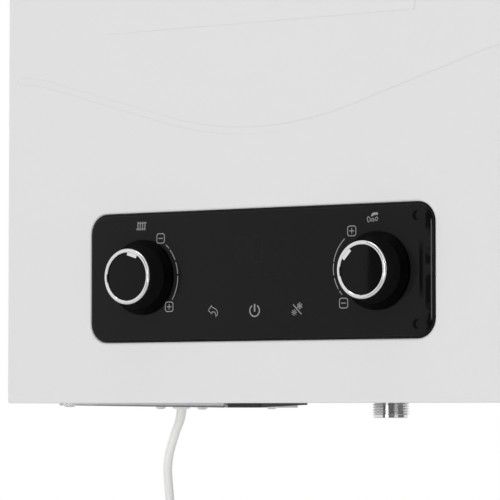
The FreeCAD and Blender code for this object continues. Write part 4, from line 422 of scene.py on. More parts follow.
def show(shape, name, material, body, replaces=()):
    """Makes a shape a piece of the boiler that moves with a body."""
    bmesh.ops.remove_doubles(shape, verts=shape.verts, dist=SAME_POINT)
    bmesh.ops.recalc_face_normals(shape, faces=shape.faces)
    piece = place_shape(shape, name, material)
    piece.data.shade_smooth()
    piece.data.set_sharp_from_angle(angle=CREASE)
    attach(piece, body)
    if replaces:
        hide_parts(*replaces)
    return piece


# Finishes


class Tree:
    """A node tree with short calls to add and join nodes."""

    def __init__(self, tree):
        self.tree = tree

    def add(self, kind, **values):
        node = self.tree.nodes.new(kind)
        for name, value in values.items():
            setattr(node, name, value)
        return node

    def join(self, start, end):
        self.tree.links.new(start, end)

    def feed(self, socket, value):
        """Joins a socket to another, or writes a plain value to it."""
        if isinstance(value, bpy.types.NodeSocket):
            self.join(value, socket)
        else:
            socket.default_value = value

    def maths(self, operation, *values):
        node = self.add("ShaderNodeMath", operation=operation)
        for socket, value in zip(node.inputs, values):
            self.feed(socket, value)
        return node.outputs[0]

    def between(self, value, low, high, to_low=0.0, to_high=1.0):
        node = self.add("ShaderNodeMapRange", interpolation_type="SMOOTHSTEP")
        for socket, part in zip(node.inputs, (value, low, high, to_low, to_high)):
            self.feed(socket, part)
        return node.outputs[0]

    def blend(self, share, dark, light):
        node = self.add("ShaderNodeMix", data_type="RGBA")
        self.feed(node.inputs["Factor"], share)
        self.feed(node.inputs["A"], dark)
        self.feed(node.inputs["B"], light)
        return node.outputs["Result"]

    def inverse(self, share):
        return self.maths("SUBTRACT", 1.0, share)

    def apart(self, value, other):
        """How far two numbers lie apart."""
        return self.maths("ABSOLUTE", self.maths("SUBTRACT", value, other))

    def place(self):
        """Where a point of the surface is in the boiler's own frame."""
        return self.add("ShaderNodeTexCoord").outputs["Object"]

    def axes(self):
        """That place as three numbers."""
        node = self.add("ShaderNodeSeparateXYZ")
        self.join(self.place(), node.inputs[0])
        return node.outputs

    def noise(self, place, size, detail):
        node = self.add("ShaderNodeTexNoise")
        self.join(place, node.inputs["Vector"])
        self.join(self.maths("DIVIDE", 1.0, size), node.inputs["Scale"])
        node.inputs["Detail"].default_value = detail
        return node.outputs["Fac"]


def effect(name, inputs, outputs):
    """A new shader node group with its sockets."""
    group = bpy.data.node_groups.new(name, "ShaderNodeTree")
    for word, value in inputs.items():
        socket = group.interface.new_socket(word, in_out="INPUT", socket_type="NodeSocketFloat")
        socket.default_value = value
    for word in outputs:
        group.interface.new_socket(word, in_out="OUTPUT", socket_type="NodeSocketFloat")
    tree = Tree(group)
    return tree, tree.add("NodeGroupInput").outputs, tree.add("NodeGroupOutput").inputs


def grain_effect():
    """Fine grain and a slow drift, in even noise through the piece."""
    tree, given, out = effect("grain", {"Grain size": 0.001, "Drift size": 0.08}, ("Height", "Drift"))
    place = tree.place()
    tree.join(tree.noise(place, given["Grain size"], 2.0), out["Height"])
    tree.join(tree.noise(place, given["Drift size"], 3.0), out["Drift"])
    return tree.tree


def brushed_effect():
    """Fine lines that run along one way, as left by rolling, drawing or brushing."""
    inputs = {"Across x": 1.0, "Across y": 1.0, "Across z": 1.0, "Line width": 0.0004}
    tree, given, out = effect("brushed", inputs, ("Height", "Lines"))
    ways = tree.add("ShaderNodeCombineXYZ")
    for socket, word in zip(ways.inputs, ("Across x", "Across y", "Across z")):
        tree.join(given[word], socket)
    stretch = tree.add("ShaderNodeVectorMath", operation="MULTIPLY")
    tree.join(tree.place(), stretch.inputs[0])
    tree.join(ways.outputs[0], stretch.inputs[1])
    lines = tree.noise(stretch.outputs[0], given["Line width"], 4.0)
    tree.join(lines, out["Height"])
    tree.join(tree.between(lines, 0.35, 0.65), out["Lines"])
    return tree.tree


def spangle_effect():
    """The crystal patches of hot-dip zinc."""
    tree, given, out = effect("spangle", {"Patch size": 0.006}, ("Patch",))
    cells = tree.add("ShaderNodeTexVoronoi")
    tree.join(tree.place(), cells.inputs["Vector"])
    tree.join(tree.maths("DIVIDE", 1.0, given["Patch size"]), cells.inputs["Scale"])
    split = tree.add("ShaderNodeSeparateColor")
    tree.join(cells.outputs["Color"], split.inputs[0])
    tree.join(split.outputs[0], out["Patch"])
    return tree.tree


class Finish:
    """One material: a principled surface whose colour, roughness and relief vary by its nodes."""

    effects = {}

    def __init__(self, name):
        self.material = bpy.data.materials.new(name)
        self.material.use_nodes = True
        self.tree = Tree(self.material.node_tree)
        self.surface = self.material.node_tree.nodes["Principled BSDF"]

    def set(self, **values):
        for word, value in values.items():
            socket = self.surface.inputs[word.replace("_", " ").title().replace("Ior", "IOR")]
            socket.default_value = (*value, 1) if hasattr(value, "__len__") else value
        return self

    def effect(self, name, maker, **values):
        """Places a shared effect here with this material's own values."""
        if name not in Finish.effects:
            Finish.effects[name] = maker()
        node = self.tree.add("ShaderNodeGroup", node_tree=Finish.effects[name])
        for word, value in values.items():
            node.inputs[word.replace("_", " ").capitalize()].default_value = value
        return node.outputs

    def grain(self, size, drift=0.08):
        return self.effect("grain", grain_effect, grain_size=size, drift_size=drift)

    def colour(self, share, dark, light):
        pair = [(*colour, 1) for colour in (dark, light)]
        self.tree.join(self.tree.blend(share, *pair), self.surface.inputs["Base Color"])
        return self

    def roughness(self, share, low, high):
        self.tree.join(self.tree.between(share, 0.25, 0.75, low, high), self.surface.inputs["Roughness"])
        return self

    def relief(self, height, depth):
        bump = self.tree.add("ShaderNodeBump")
        bump.inputs["Distance"].default_value = depth
        bump.inputs["Strength"].default_value = 1.0
        self.tree.join(height, bump.inputs["Height"])
        self.tree.join(bump.outputs["Normal"], self.surface.inputs["Normal"])
        return self


def shade(colour, share):
    return tuple(channel * share for channel in colour)


def painted(name, colour, rough, peel=1.6 * MM, depth=0.006 * MM):
    """Powder coat or enamel: a faint orange peel and a slow change of gloss."""
    finish = Finish(name)
    marks = finish.grain(peel, 0.15)
    finish.colour(marks["Drift"], shade(colour, 0.985), colour)
    finish.roughness(marks["Drift"], rough - 0.03, rough + 0.04)
    return finish.relief(marks["Height"], depth)


GROOVE_LOW = UNDERSIDE + 179.6 * MM
GROOVE_REACH = 199.5 * MM
GROOVE_DIP_RADIUS = 265 * MM
GROOVE_END_RADIUS = 96 * MM
GROOVE_SLOPE = math.radians(16.3)
GROOVE_HALF_WIDTH = 2.35 * MM
FIELD_LOW = UNDERSIDE + 251 * MM
FIELD_HALF_WIDTH = 123 * MM
PAINT_ROUGH = 0.36


def groove_line(tree, side):
    """The height of the groove's middle line: a round dip, then a straight run and a round end."""

    def rise(radius, away):
        """The height of a circle over its middle, at a distance from its upright axis."""
        return tree.maths("SQRT", tree.maths("SUBTRACT", radius**2, tree.maths("POWER", away, 2.0)))

    run_start = GROOVE_DIP_RADIUS * math.sin(GROOVE_SLOPE)
    run_end = GROOVE_REACH - GROOVE_END_RADIUS * math.sin(GROOVE_SLOPE)
    dip_away = tree.maths("MINIMUM", side, run_start)
    dip = tree.maths("SUBTRACT", GROOVE_LOW + GROOVE_DIP_RADIUS, rise(GROOVE_DIP_RADIUS, dip_away))
    along = tree.maths("MINIMUM", tree.maths("MAXIMUM", side, run_start), run_end)
    run = tree.maths("MULTIPLY", tree.maths("SUBTRACT", along, run_start), math.tan(GROOVE_SLOPE))
    end_away = tree.maths("SUBTRACT", GROOVE_REACH, tree.maths("MAXIMUM", side, run_end))
    end_foot = GROOVE_END_RADIUS * math.cos(GROOVE_SLOPE)
    end = tree.maths("SUBTRACT", rise(GROOVE_END_RADIUS, end_away), end_foot)
    return tree.maths("ADD", tree.maths("ADD", dip, run), end)


def cover_paint(colours):
    """The cover's powder coat, with painted shade: its colour is darker in thin lines along the pressed
    edges of its groove and field.
    """
    finish = painted("cover_paint_finish", colours.paint, PAINT_ROUGH)
    tree = finish.tree
    x, _, z = tree.axes()
    side = tree.maths("ABSOLUTE", x)
    mean_cosine = 0.975
    above = tree.maths("MULTIPLY", tree.maths("SUBTRACT", z, groove_line(tree, side)), mean_cosine)

    # Painted shade: each mask below marks a thin line along an edge, where the coat's colour is darkened.
    def edge(value, other):
        return tree.inverse(tree.between(tree.apart(value, other), 0.2 * MM, 0.6 * MM))

    # The upper edge's painted shade grows towards the right and the lower edge's towards the left,
    # following how the light falls on them.
    upper_share = tree.between(x, -120 * MM, 80 * MM, 0.6, 1.0)
    lower_share = tree.between(x, 60 * MM, -60 * MM, 0.0, 0.6)
    upper = tree.maths("MULTIPLY", edge(above, GROOVE_HALF_WIDTH), upper_share)
    lower = tree.maths("MULTIPLY", edge(above, -GROOVE_HALF_WIDTH), lower_share)
    within = tree.between(side, GROOVE_REACH + 0.4 * MM, GROOVE_REACH)
    groove = tree.maths("MULTIPLY", tree.maths("MAXIMUM", upper, lower), within)
    field_side = tree.maths("SUBTRACT", x, FIELD_HALF_WIDTH)
    field_foot = tree.maths("SUBTRACT", FIELD_LOW, z)
    field_share = tree.between(x, -FIELD_HALF_WIDTH, 2 * MM - FIELD_HALF_WIDTH, 0.0, 0.7)
    field = tree.maths("MULTIPLY", edge(tree.maths("MAXIMUM", field_side, field_foot), 0.0), field_share)
    plain = finish.surface.inputs["Base Color"].links[0].from_socket
    # thin: the darker colour of the painted shade lines, not a thinner coat.
    thin = (*shade(colours.paint, 0.92), 1)
    coat = tree.blend(tree.maths("MAXIMUM", groove, field), plain, thin)
    tree.join(coat, finish.surface.inputs["Base Color"])
    return finish


def moulded(name, colour, rough, texture=0.35 * MM, depth=0.012 * MM):
    """Moulded plastic with the mould's fine texture."""
    finish = Finish(name)
    marks = finish.grain(texture, 0.03)
    finish.colour(marks["Drift"], shade(colour, 0.88), shade(colour, 1.08))
    finish.roughness(marks["Drift"], rough - 0.05, rough + 0.06)
    return finish.relief(marks["Height"], depth)


def galvanised(name, colour):
    finish = Finish(name).set(metallic=1.0)
    marks = finish.effect("spangle", spangle_effect, patch_size=7 * MM)
    grain = finish.grain(0.5 * MM)
    finish.colour(marks["Patch"], shade(colour, 0.86), colour)
    finish.roughness(marks["Patch"], 0.34, 0.46)
    return finish.relief(grain["Height"], 0.004 * MM)


def brushed(name, colour, across, rough):
    finish = Finish(name).set(metallic=1.0)
    lines = finish.effect(
        "brushed", brushed_effect, across_x=across[0], across_y=across[1], across_z=across[2]
    )
    finish.colour(lines["Lines"], shade(colour, 0.88), colour)
    finish.roughness(lines["Lines"], rough, rough + 0.12)
    return finish.relief(lines["Height"], 0.003 * MM)


def cast(name, colour, rough, grit=0.9 * MM):
    """Cast metal with a sandy skin."""
    finish = Finish(name).set(metallic=1.0)
    marks = finish.grain(grit, 0.03)
    finish.colour(marks["Drift"], shade(colour, 0.82), shade(colour, 1.05))
    finish.roughness(marks["Drift"], rough - 0.08, rough + 0.08)
    return finish.relief(marks["Height"], 0.05 * MM)


def tarnished(name, colour, stain, rough):
    """Copper or brass that has darkened in patches."""
    finish = Finish(name).set(metallic=1.0)
    marks = finish.grain(0.6 * MM, 0.025)
    spread = finish.tree.between(marks["Drift"], 0.42, 0.66)
    finish.colour(spread, colour, stain)
    finish.roughness(marks["Drift"], rough, rough + 0.16)
    return finish.relief(marks["Height"], 0.004 * MM)


def plated(name, colour, rough):
    """Polished plating with the faint haze of handling."""
    finish = Finish(name).set(metallic=1.0)
    marks = finish.grain(2.5 * MM, 0.012)
    finish.colour(marks["Drift"], shade(colour, 0.97), colour)
    finish.roughness(marks["Drift"], rough, rough + 0.05)
    return finish.relief(marks["Height"], 0.0008 * MM)


FASCIA_GLOSS = 0.06
KNOB_ASIDE = 93 * MM


def gloss_fascia(colours):
    """Gloss black plastic whose right end sinks a little over two posts and a rib. Its colour holds painted
    light: painted dark reflections in patches over those marks at the right end, a painted highlight along
    the right edge, and a painted reflection that darkens from left to right.
    """
    finish = Finish("black_gloss_finish").set(specular_ior_level=FASCIA_GLOSS)
    tree = finish.tree
    marks = finish.grain(9 * MM, 0.05)
    mottle = finish.grain(3 * MM, 0.011)["Drift"]
    finish.roughness(marks["Drift"], 0.05, 0.10)
    x, _, z = tree.axes()
    above = tree.apart(z, PANEL_FACE.z)
    post_height = 34.6 * MM
    post_x, bite_x, rib_x, end_x, edge_x = (place * MM for place in (124.6, 126.6, 127.8, 130.2, 135.1))

    def disc(middle, inner, outer):
        """Nought within a disc round each post and one outside it."""
        away = tree.add("ShaderNodeCombineXYZ")
        tree.feed(away.inputs[0], tree.maths("SUBTRACT", x, middle))
        tree.feed(away.inputs[1], tree.maths("SUBTRACT", above, post_height))
        length = tree.add("ShaderNodeVectorMath", operation="LENGTH")
        tree.join(away.outputs[0], length.inputs[0])
        return tree.between(length.outputs["Value"], inner, outer)

    # The post, bite and rib masks sink the surface in the relief below, and also mark where dark
    # reflections are painted into the colour; the bite gives each post a crescent.
    bite = tree.inverse(disc(bite_x, 2.2 * MM, 3.4 * MM))
    post = tree.maths("MAXIMUM", disc(post_x, 2.4 * MM, 3.8 * MM), bite)
    rib_side = tree.between(tree.apart(x, rib_x), 0.4 * MM, 1.9 * MM)
    rib = tree.maths("MAXIMUM", rib_side, tree.between(above, 10 * MM, 21 * MM))
    # Painted dark reflection in mottled patches along the right end.
    end = tree.between(x, end_x, end_x + 1.2 * MM)
    patch = tree.between(mottle, 0.40, 0.54)
    end_dark_reflection = tree.inverse(tree.maths("MULTIPLY", end, patch))
    # sunk is nought where the dark reflection is painted into the colour.
    sunk = tree.maths("MULTIPLY", tree.maths("MULTIPLY", post, rib), end_dark_reflection)
    # Painted reflection: the panel's colour fades from lighter on the left to darker on the right.
    reflection_fade = tree.between(x, -130 * MM, 40 * MM)
    left, right, painted_dark_reflection, painted_highlight = ((*shade(colours.fascia, share), 1) for share in (1.12, 0.94, 0.06, 7.0))
    dark = tree.blend(sunk, painted_dark_reflection, tree.blend(reflection_fade, left, right))
    # Painted highlight: a thin lighter line along the rounded right edge.
    edge = tree.inverse(tree.between(tree.apart(x, edge_x), 0.15 * MM, 0.45 * MM))
    edge = tree.maths("MULTIPLY", edge, tree.between(above, 33 * MM, 30 * MM))
    tree.join(tree.blend(edge, dark, painted_highlight), finish.surface.inputs["Base Color"])
    sinks = tree.maths("MULTIPLY", tree.maths("ADD", post, rib), 0.06 * MM)
    ripple = tree.maths("MULTIPLY", marks["Height"], 0.006 * MM)
    return finish.relief(tree.maths("ADD", sinks, ripple), 1.0)


def knob_grip(colours):
    """A satin black grip over a skirt whose colour is far darker, a painted dark reflection; both have the
    same gloss.
    """
    finish = Finish("knob_black_finish").set(specular_ior_level=0.02)
    tree = finish.tree
    marks = finish.grain(0.25 * MM, 0.03)
    away = tree.maths("SUBTRACT", PANEL_FACE.y, tree.axes()["Y"])
    # Painted dark reflection: the colour of the skirt, nearest the panel, is darkened.
    grip = tree.between(away, 5.9 * MM, 6.7 * MM)
    finish.colour(grip, shade(colours.knob, 0.2), shade(colours.knob, 1.9))
    finish.roughness(marks["Drift"], 0.25, 0.36)
    return finish.relief(marks["Height"], 0.002 * MM)


def knob_cap(colours):
    """Gloss black with a slight crown round each knob's middle."""
    finish = Finish("cap_gloss_finish").set(specular_ior_level=0.12)
    tree = finish.tree
    marks = finish.grain(6 * MM, 0.02)
    finish.colour(marks["Drift"], shade(colours.fascia, 0.25), shade(colours.fascia, 0.4))
    finish.roughness(marks["Drift"], 0.05, 0.09)
    x, _, z = tree.axes()
    across = tree.maths("SUBTRACT", tree.maths("ABSOLUTE", x), KNOB_ASIDE)
    above = tree.maths("SUBTRACT", z, PANEL_FACE.z)
    square = tree.maths("ADD", tree.maths("POWER", across, 2.0), tree.maths("POWER", above, 2.0))
    crown = -1.6
    return finish.relief(tree.maths("MULTIPLY", square, crown), 1.0)


def circuit_board(name):
    """Green lacquer over copper tracks."""
    finish = Finish(name).set(coat_weight=0.3)
    tree = finish.tree
    turn = tree.add("ShaderNodeMapping")
    turn.inputs["Rotation"].default_value = (math.pi / 2, 0, 0)
    tree.join(tree.place(), turn.inputs["Vector"])
    tracks = tree.add("ShaderNodeTexBrick")
    tree.join(turn.outputs[0], tracks.inputs["Vector"])
    tracks.inputs["Scale"].default_value = 180
    tracks.inputs["Mortar Size"].default_value = 0.06
    tracks.inputs["Color1"].default_value = (0.012, 0.09, 0.035, 1)
    tracks.inputs["Color2"].default_value = (0.016, 0.12, 0.045, 1)
    tracks.inputs["Mortar"].default_value = (0.03, 0.17, 0.07, 1)
    tree.join(tracks.outputs["Color"], finish.surface.inputs["Base Color"])
    marks = finish.grain(1.2 * MM)
    finish.roughness(marks["Drift"], 0.3, 0.45)
    return finish.relief(tracks.outputs["Fac"], 0.03 * MM)


def clear_glass(name):
    finish = Finish(name).set(transmission_weight=1.0, base_color=(0.93, 0.97, 0.96))
    marks = finish.grain(4 * MM)
    finish.roughness(marks["Drift"], 0.02, 0.08)
    return finish


def fibre_board(name):
    """Pressed mineral fibre: matt, with a felted surface."""
    finish = Finish(name)
    lines = finish.effect("brushed", brushed_effect, across_x=0.3, line_width=0.8 * MM)
    finish.colour(lines["Lines"], (0.66, 0.62, 0.53), (0.83, 0.80, 0.72))
    finish.roughness(lines["Lines"], 0.85, 0.95)
    return finish.relief(lines["Height"], 0.25 * MM)


def make_finishes(colours):
    """Every finish of the boiler by its slot."""
    made = {
        "white_paint": painted("white_paint_finish", colours.paint, PAINT_ROUGH),
        "cover_paint": cover_paint(colours),
        "zinc_steel": galvanised("zinc_steel_finish", (0.58, 0.59, 0.60)),
        "bright_screw": plated("bright_screw_finish", (0.74, 0.75, 0.76), 0.16),
        "black_plastic": moulded("black_plastic_finish", (0.022, 0.022, 0.023), 0.42),
        "grey_gland": moulded("grey_gland_finish", (0.82, 0.82, 0.81), 0.38),
        "grey_lead": moulded("grey_lead_finish", colours.sheath, 0.42, 0.6 * MM),
        "black_tie": moulded("black_tie_finish", (0.02, 0.02, 0.02), 0.35),
        "black_gloss": gloss_fascia(colours),
        "knob_black": knob_grip(colours),
        "knob_chrome": plated("knob_chrome_finish", colours.chrome, 0.06),
        "shaft_plastic": moulded("shaft_plastic_finish", (0.74, 0.74, 0.71), 0.4),
        "circuit_board": circuit_board("circuit_board_finish"),
        "sight_glass": clear_glass("sight_glass_finish"),
        "fibre_board": fibre_board("fibre_board_finish"),
        "copper": tarnished("copper_finish", (0.72, 0.36, 0.22), (0.42, 0.20, 0.12), 0.22),
        "brass": tarnished("brass_finish", (0.72, 0.55, 0.28), (0.50, 0.37, 0.18), 0.26),
        "stainless": brushed("stainless_finish", (0.62, 0.62, 0.62), (1.0, 0.06, 1.0), 0.26),
        "cast_alloy": cast("cast_alloy_finish", (0.56, 0.57, 0.58), 0.42),
        "vessel_red": painted("vessel_red_finish", (0.42, 0.024, 0.018), 0.22),
        "ink": moulded("ink_finish", colours.ink, 0.5, 0.2 * MM, 0.001 * MM),
        "ghost": moulded(
            "ghost_finish", shade(colours.fascia, 1.12), 0.09, 0.2 * MM, 0.0001 * MM
        ).set(specular_ior_level=FASCIA_GLOSS),
        "cap_gloss": knob_cap(colours),
        "nickel": plated("nickel_finish", (0.74, 0.74, 0.74), 0.13),
        # A dark grey of painted shade, for the strip below the tray's front edge.
        "shade_strip": moulded("shade_strip_finish", (0.22, 0.22, 0.22), 0.6),
        "pin": plated("pin_finish", (0.72, 0.70, 0.66), 0.2),
    }
    return {slot: finish.material for slot, finish in made.items()}


FINISHES = {}


class BOILER_OT_finishes(bpy.types.Operator):
    """Makes the finishes and gives each CAD node the one of its slot"""

    bl_idname = "boiler.finishes"
    bl_label = "Finishes"

    def execute(self, context):
        FINISHES.update(make_finishes(context.scene.boiler_colours))
        for node in frame["nodes"].values():
            for place in node.material_slots:
                place.material = FINISHES[place.material.name]
        own_finishes = {
            "front_cover": "cover_paint",
            "heating_knob_cap": "cap_gloss",
            "hot_water_knob_cap": "cap_gloss",
        }
        for name, finish in own_finishes.items():
            frame["nodes"][name].material_slots[0].material = FINISHES[finish]
        return {"FINISHED"}


# Mains lead


LEAD_ROUTE = [
    (-129.5, -205, -672),
    (-128.2, -204.8, -686),
    (-135.6, -206.4, -704),
    (-140.0, -208.0, -722),
    (-138.4, -207.6, -741),
    (-137, -207.4, -754.5),
    (-141.8, -207.4, -767.7),
    (-150.9, -207.4, -778.5),
]
COIL_MIDDLE = Vector((-137, -207.4, -816.68)) * MM


def coil_spot(lead, angle, radius):
    step = lead.coil_pitch * (angle - lead.coil_start) / TURN
    return COIL_MIDDLE + Vector((math.cos(angle) * radius, step, math.sin(angle) * radius))


def coil_end(lead):
    """The angle, the last point and the direction where the lead leaves the coil."""
    angle = lead.coil_start + TURN * lead.coil_turns
    return angle, coil_spot(lead, angle, lead.coil_radius), Vector((-math.sin(angle), 0, math.cos(angle)))


def lead_points(lead):
    """The lead's control points: its route, the coil's turns and the tail to the plug."""
    points = [Vector(point) * MM for point in LEAD_ROUTE]
    end, leaves_at, way = coil_end(lead)
    count = round(lead.coil_turns * lead.turn_points)
    step = (end - lead.coil_start) / count
    outer = lead.coil_radius / math.cos(step / 2)
    points += [coil_spot(lead, lead.coil_start + (n + 0.5) * step, outer) for n in range(count)]
    return points + [leaves_at + way * lead.tail]


def round_line(name, points, diameter, steps, widths=None):
    """A smooth round line by control points, which the casing carries."""
    line = bpy.data.curves.new(name, "CURVE")
    line.dimensions = "3D"
    line.bevel_depth = diameter / 2
    line.bevel_resolution = 5
    line.use_fill_caps = True
    line.resolution_u = steps
    spline = line.splines.new("NURBS")
    spline.points.add(len(points) - 1)
    for spot, point, width in zip(spline.points, points, widths or [1] * len(points)):
        spot.co = (*point, 1)
        spot.radius = width
    spline.use_endpoint_u = True
    spline.order_u = 3
    line.materials.append(FINISHES["grey_lead"])
    piece = bpy.data.objects.new(name, line)
    bpy.context.scene.collection.objects.link(piece)
    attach(piece, "casing")
    return piece


class BOILER_OT_mains_lead(bpy.types.Operator):
    """The mains lead in one smooth line from the gland to its plug, tied in a coil"""

    bl_idname = "boiler.mains_lead"
    bl_label = "Mains lead"

    def execute(self, context):
        lead = context.scene.boiler_lead
        points = lead_points(lead)
        cord = round_line("mains_cord", points, lead.diameter, 8)
        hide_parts("mains_lead", "lead_coil")
        self.sleeve(lead, points)
        tie = self.tie()
        plug, pins = self.plug(lead)
        return {"FINISHED"}

    def sleeve(self, lead, points):
        """The tapered sleeve that eases the lead's first bend below the gland."""
        route = (points[0], points[1], (points[1] + points[2]) / 2)
        round_line("lead_sleeve", route, lead.diameter, 12, (1.16, 1.10, 1.01))

    def tie(self):
        """A strap with rounded corners round the coil's turns, with its catch."""
        low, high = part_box("lead_tie")
        middle = (low + high) / 2
        size = high - low
        wall = 1.0 * MM
        shape = bmesh.new()
        left = middle - Vector((size.x / 2, 0, 0))
        matrix = Matrix.Translation(left) @ Matrix.Rotation(math.pi / 2, 4, "Y")
        rounded_band(shape, (size.z, size.y), 3.2 * MM, wall, size.x, matrix)
        catch = Vector((size.x / 2 - 0.2 * MM, 3 * MM, wall))
        seat = Vector((middle.x, middle.y, high.z - wall / 2))
        block(shape, seat - catch, seat + catch, 0.4 * MM)
        return show(shape, "lead_strap", FINISHES["black_tie"], "casing", ("lead_tie",))

    def plug(self, lead):
        """A moulded round plug with a ribbed grip and a flexing sleeve, and its two pins."""
        _, leaves_at, way = coil_end(lead)
        turn = way.to_track_quat("Z", "Y").to_matrix().to_4x4()
        matrix = Matrix.Translation(leaves_at + way * lead.tail) @ turn
        sleeve = [(0, -0.5), (3.9, -0.5), (4.3, 0)]
        for n in range(4):
            foot = 0.6 + n * 3.2
            radius = 4.5 + n * 0.32
            sleeve += [(radius, foot), (radius + 0.2, foot + 2.0), (radius - 0.7, foot + 2.2)]
            sleeve += [(radius - 0.6, foot + 3.0)]
        body = [(6.0, 13.6), (10.5, 15.0), (14.6, 17.4), (16.8, 20.6)]
        for n in range(4):
            foot = 22.0 + n * 3.4
            body += [(17.5, foot), (17.5, foot + 2.3), (16.9, foot + 2.6), (16.9, foot + 3.1)]
        body += [(17.5, 36.4), (17.5, 42.2), (16.6, 43.7), (15.6, 44.0), (0, 44.0)]
        shape = bmesh.new()
        lathe(shape, in_metres(sleeve + body), 56, matrix)
        plug = show(shape, "plug_body", FINISHES["grey_lead"], "casing", ("mains_plug",))
        shape = bmesh.new()
        pin = [(0, 43.5), (2.35, 43.5), (2.4, 44.0), (2.4, 61.4), (2.0, 62.4), (1.2, 62.9), (0, 63.0)]
        for side in (-1, 1):
            aside = matrix @ Matrix.Translation((0, 9.5 * MM * side, 0))
            lathe(shape, in_metres(pin), 28, aside)
        pins = show(shape, "plug_pins", FINISHES["pin"], "casing")
        return plug, pins


# Printed marks


class Print:
    """Flat shapes in the panel's plane, in metres from its middle, that become a film of ink."""

    def __init__(self, stroke):
        self.shape = bmesh.new()
        self.stroke = stroke

    def bar(self, start, end, width=None, rounded=True):
        width = width or self.stroke
        start, end = Vector(start), Vector(end)
        along = end - start
        turn = Matrix.Rotation(math.atan2(along.y, along.x), 4, "Z")
        size = Matrix.Diagonal((along.length + width, width, 1, 1))
        points = plate(self.shape, Matrix.Translation(((start + end) / 2).to_3d()) @ turn @ size)
        if rounded:
            self.round(points, width * 0.49)

    def round(self, points, radius):
        bevel(self.shape, points, radius, 4, "VERTICES")

    def arc(self, centre, radius, start, end, width=None):
        """A round stretch between two clock angles in degrees."""
        half = (width or self.stroke) / 2
        centre = Vector(centre).to_3d()
        first = math.radians(90 - start)
        way = way_at(first).to_3d()
        spots = [centre + way * (radius + side * half) for side in (-1, 1)]
        bmesh.ops.spin(
            self.shape,
            geom=open_line(self.shape, spots),
            cent=centre,
            axis=(0, 0, 1),
            angle=math.radians(start - end),
            steps=max(3, round(abs(end - start) / 6)),
            use_merge=abs(end - start) == 360,
        )

    def outline(self, corners, rounds, width=None):
        """A closed line: the corners' face is inset by the stroke and its inside is taken out."""
        points = [self.shape.verts.new((*corner, 0)) for corner in corners]
        before = set(self.shape.faces)
        self.shape.faces.new(points)
        for point, radius in zip(points, rounds):
            if radius:
                self.round([point], radius)
        faces = [face for face in self.shape.faces if face not in before]
        hollow(self.shape, faces, width or self.stroke)

    def box(self, centre, size):
        half = size / 2
        x, y = centre
        corners = [(x - half, y - half), (x + half, y - half), (x + half, y + half), (x - half, y + half)]
        self.outline(corners, [size * 0.26] * 4)

    def done(self, name, film, material):
        """Gives the film its thickness and lays it on the panel."""
        bmesh.ops.remove_doubles(self.shape, verts=self.shape.verts, dist=SAME_POINT)
        thicken(self.shape, list(self.shape.faces), (0, 0, film))
        matrix = Matrix.Translation(PANEL_FACE) @ FACING_FRONT
        bmesh.ops.transform(self.shape, matrix=matrix, verts=self.shape.verts)
        return show(self.shape, name, material, "casing")


def at(spot, right=0, up=0):
    """A point in metres, from a place on the panel and a step away in millimetres."""
    return Vector((spot[0] + right, spot[1] + up)) * MM


def way_at(angle):
    """The direction at an angle from the right."""
    return Vector((math.cos(angle), math.sin(angle)))


RADIATOR = (-93.5, 34.7)
RETURN_ARROW = (-34.2, -23.6)
POWER = (-0.8, -23.9)
SEASON = (32.8, -23.6)
TAP = (91.2, 34.4)
SCALES = {
    "heating_scale": {
        "middle": (-91.6, 0),
        "dashes": [(41, 48), (50.7, 67), (70, 86.5), (89.3, 123)],
        "less": (-77.4, 25.9),
        "more": (-70.3, -20.1),
    },
    "hot_water_scale": {
        "middle": (85.9, 2.2),
        "dashes": [(-40.3, -80), (-82.3, -100.3), (-104.5, -122.6), (-125.8, -133.3)],
        "less": (68.9, -20.3),
        "more": (75.2, 26.1),
    },
}


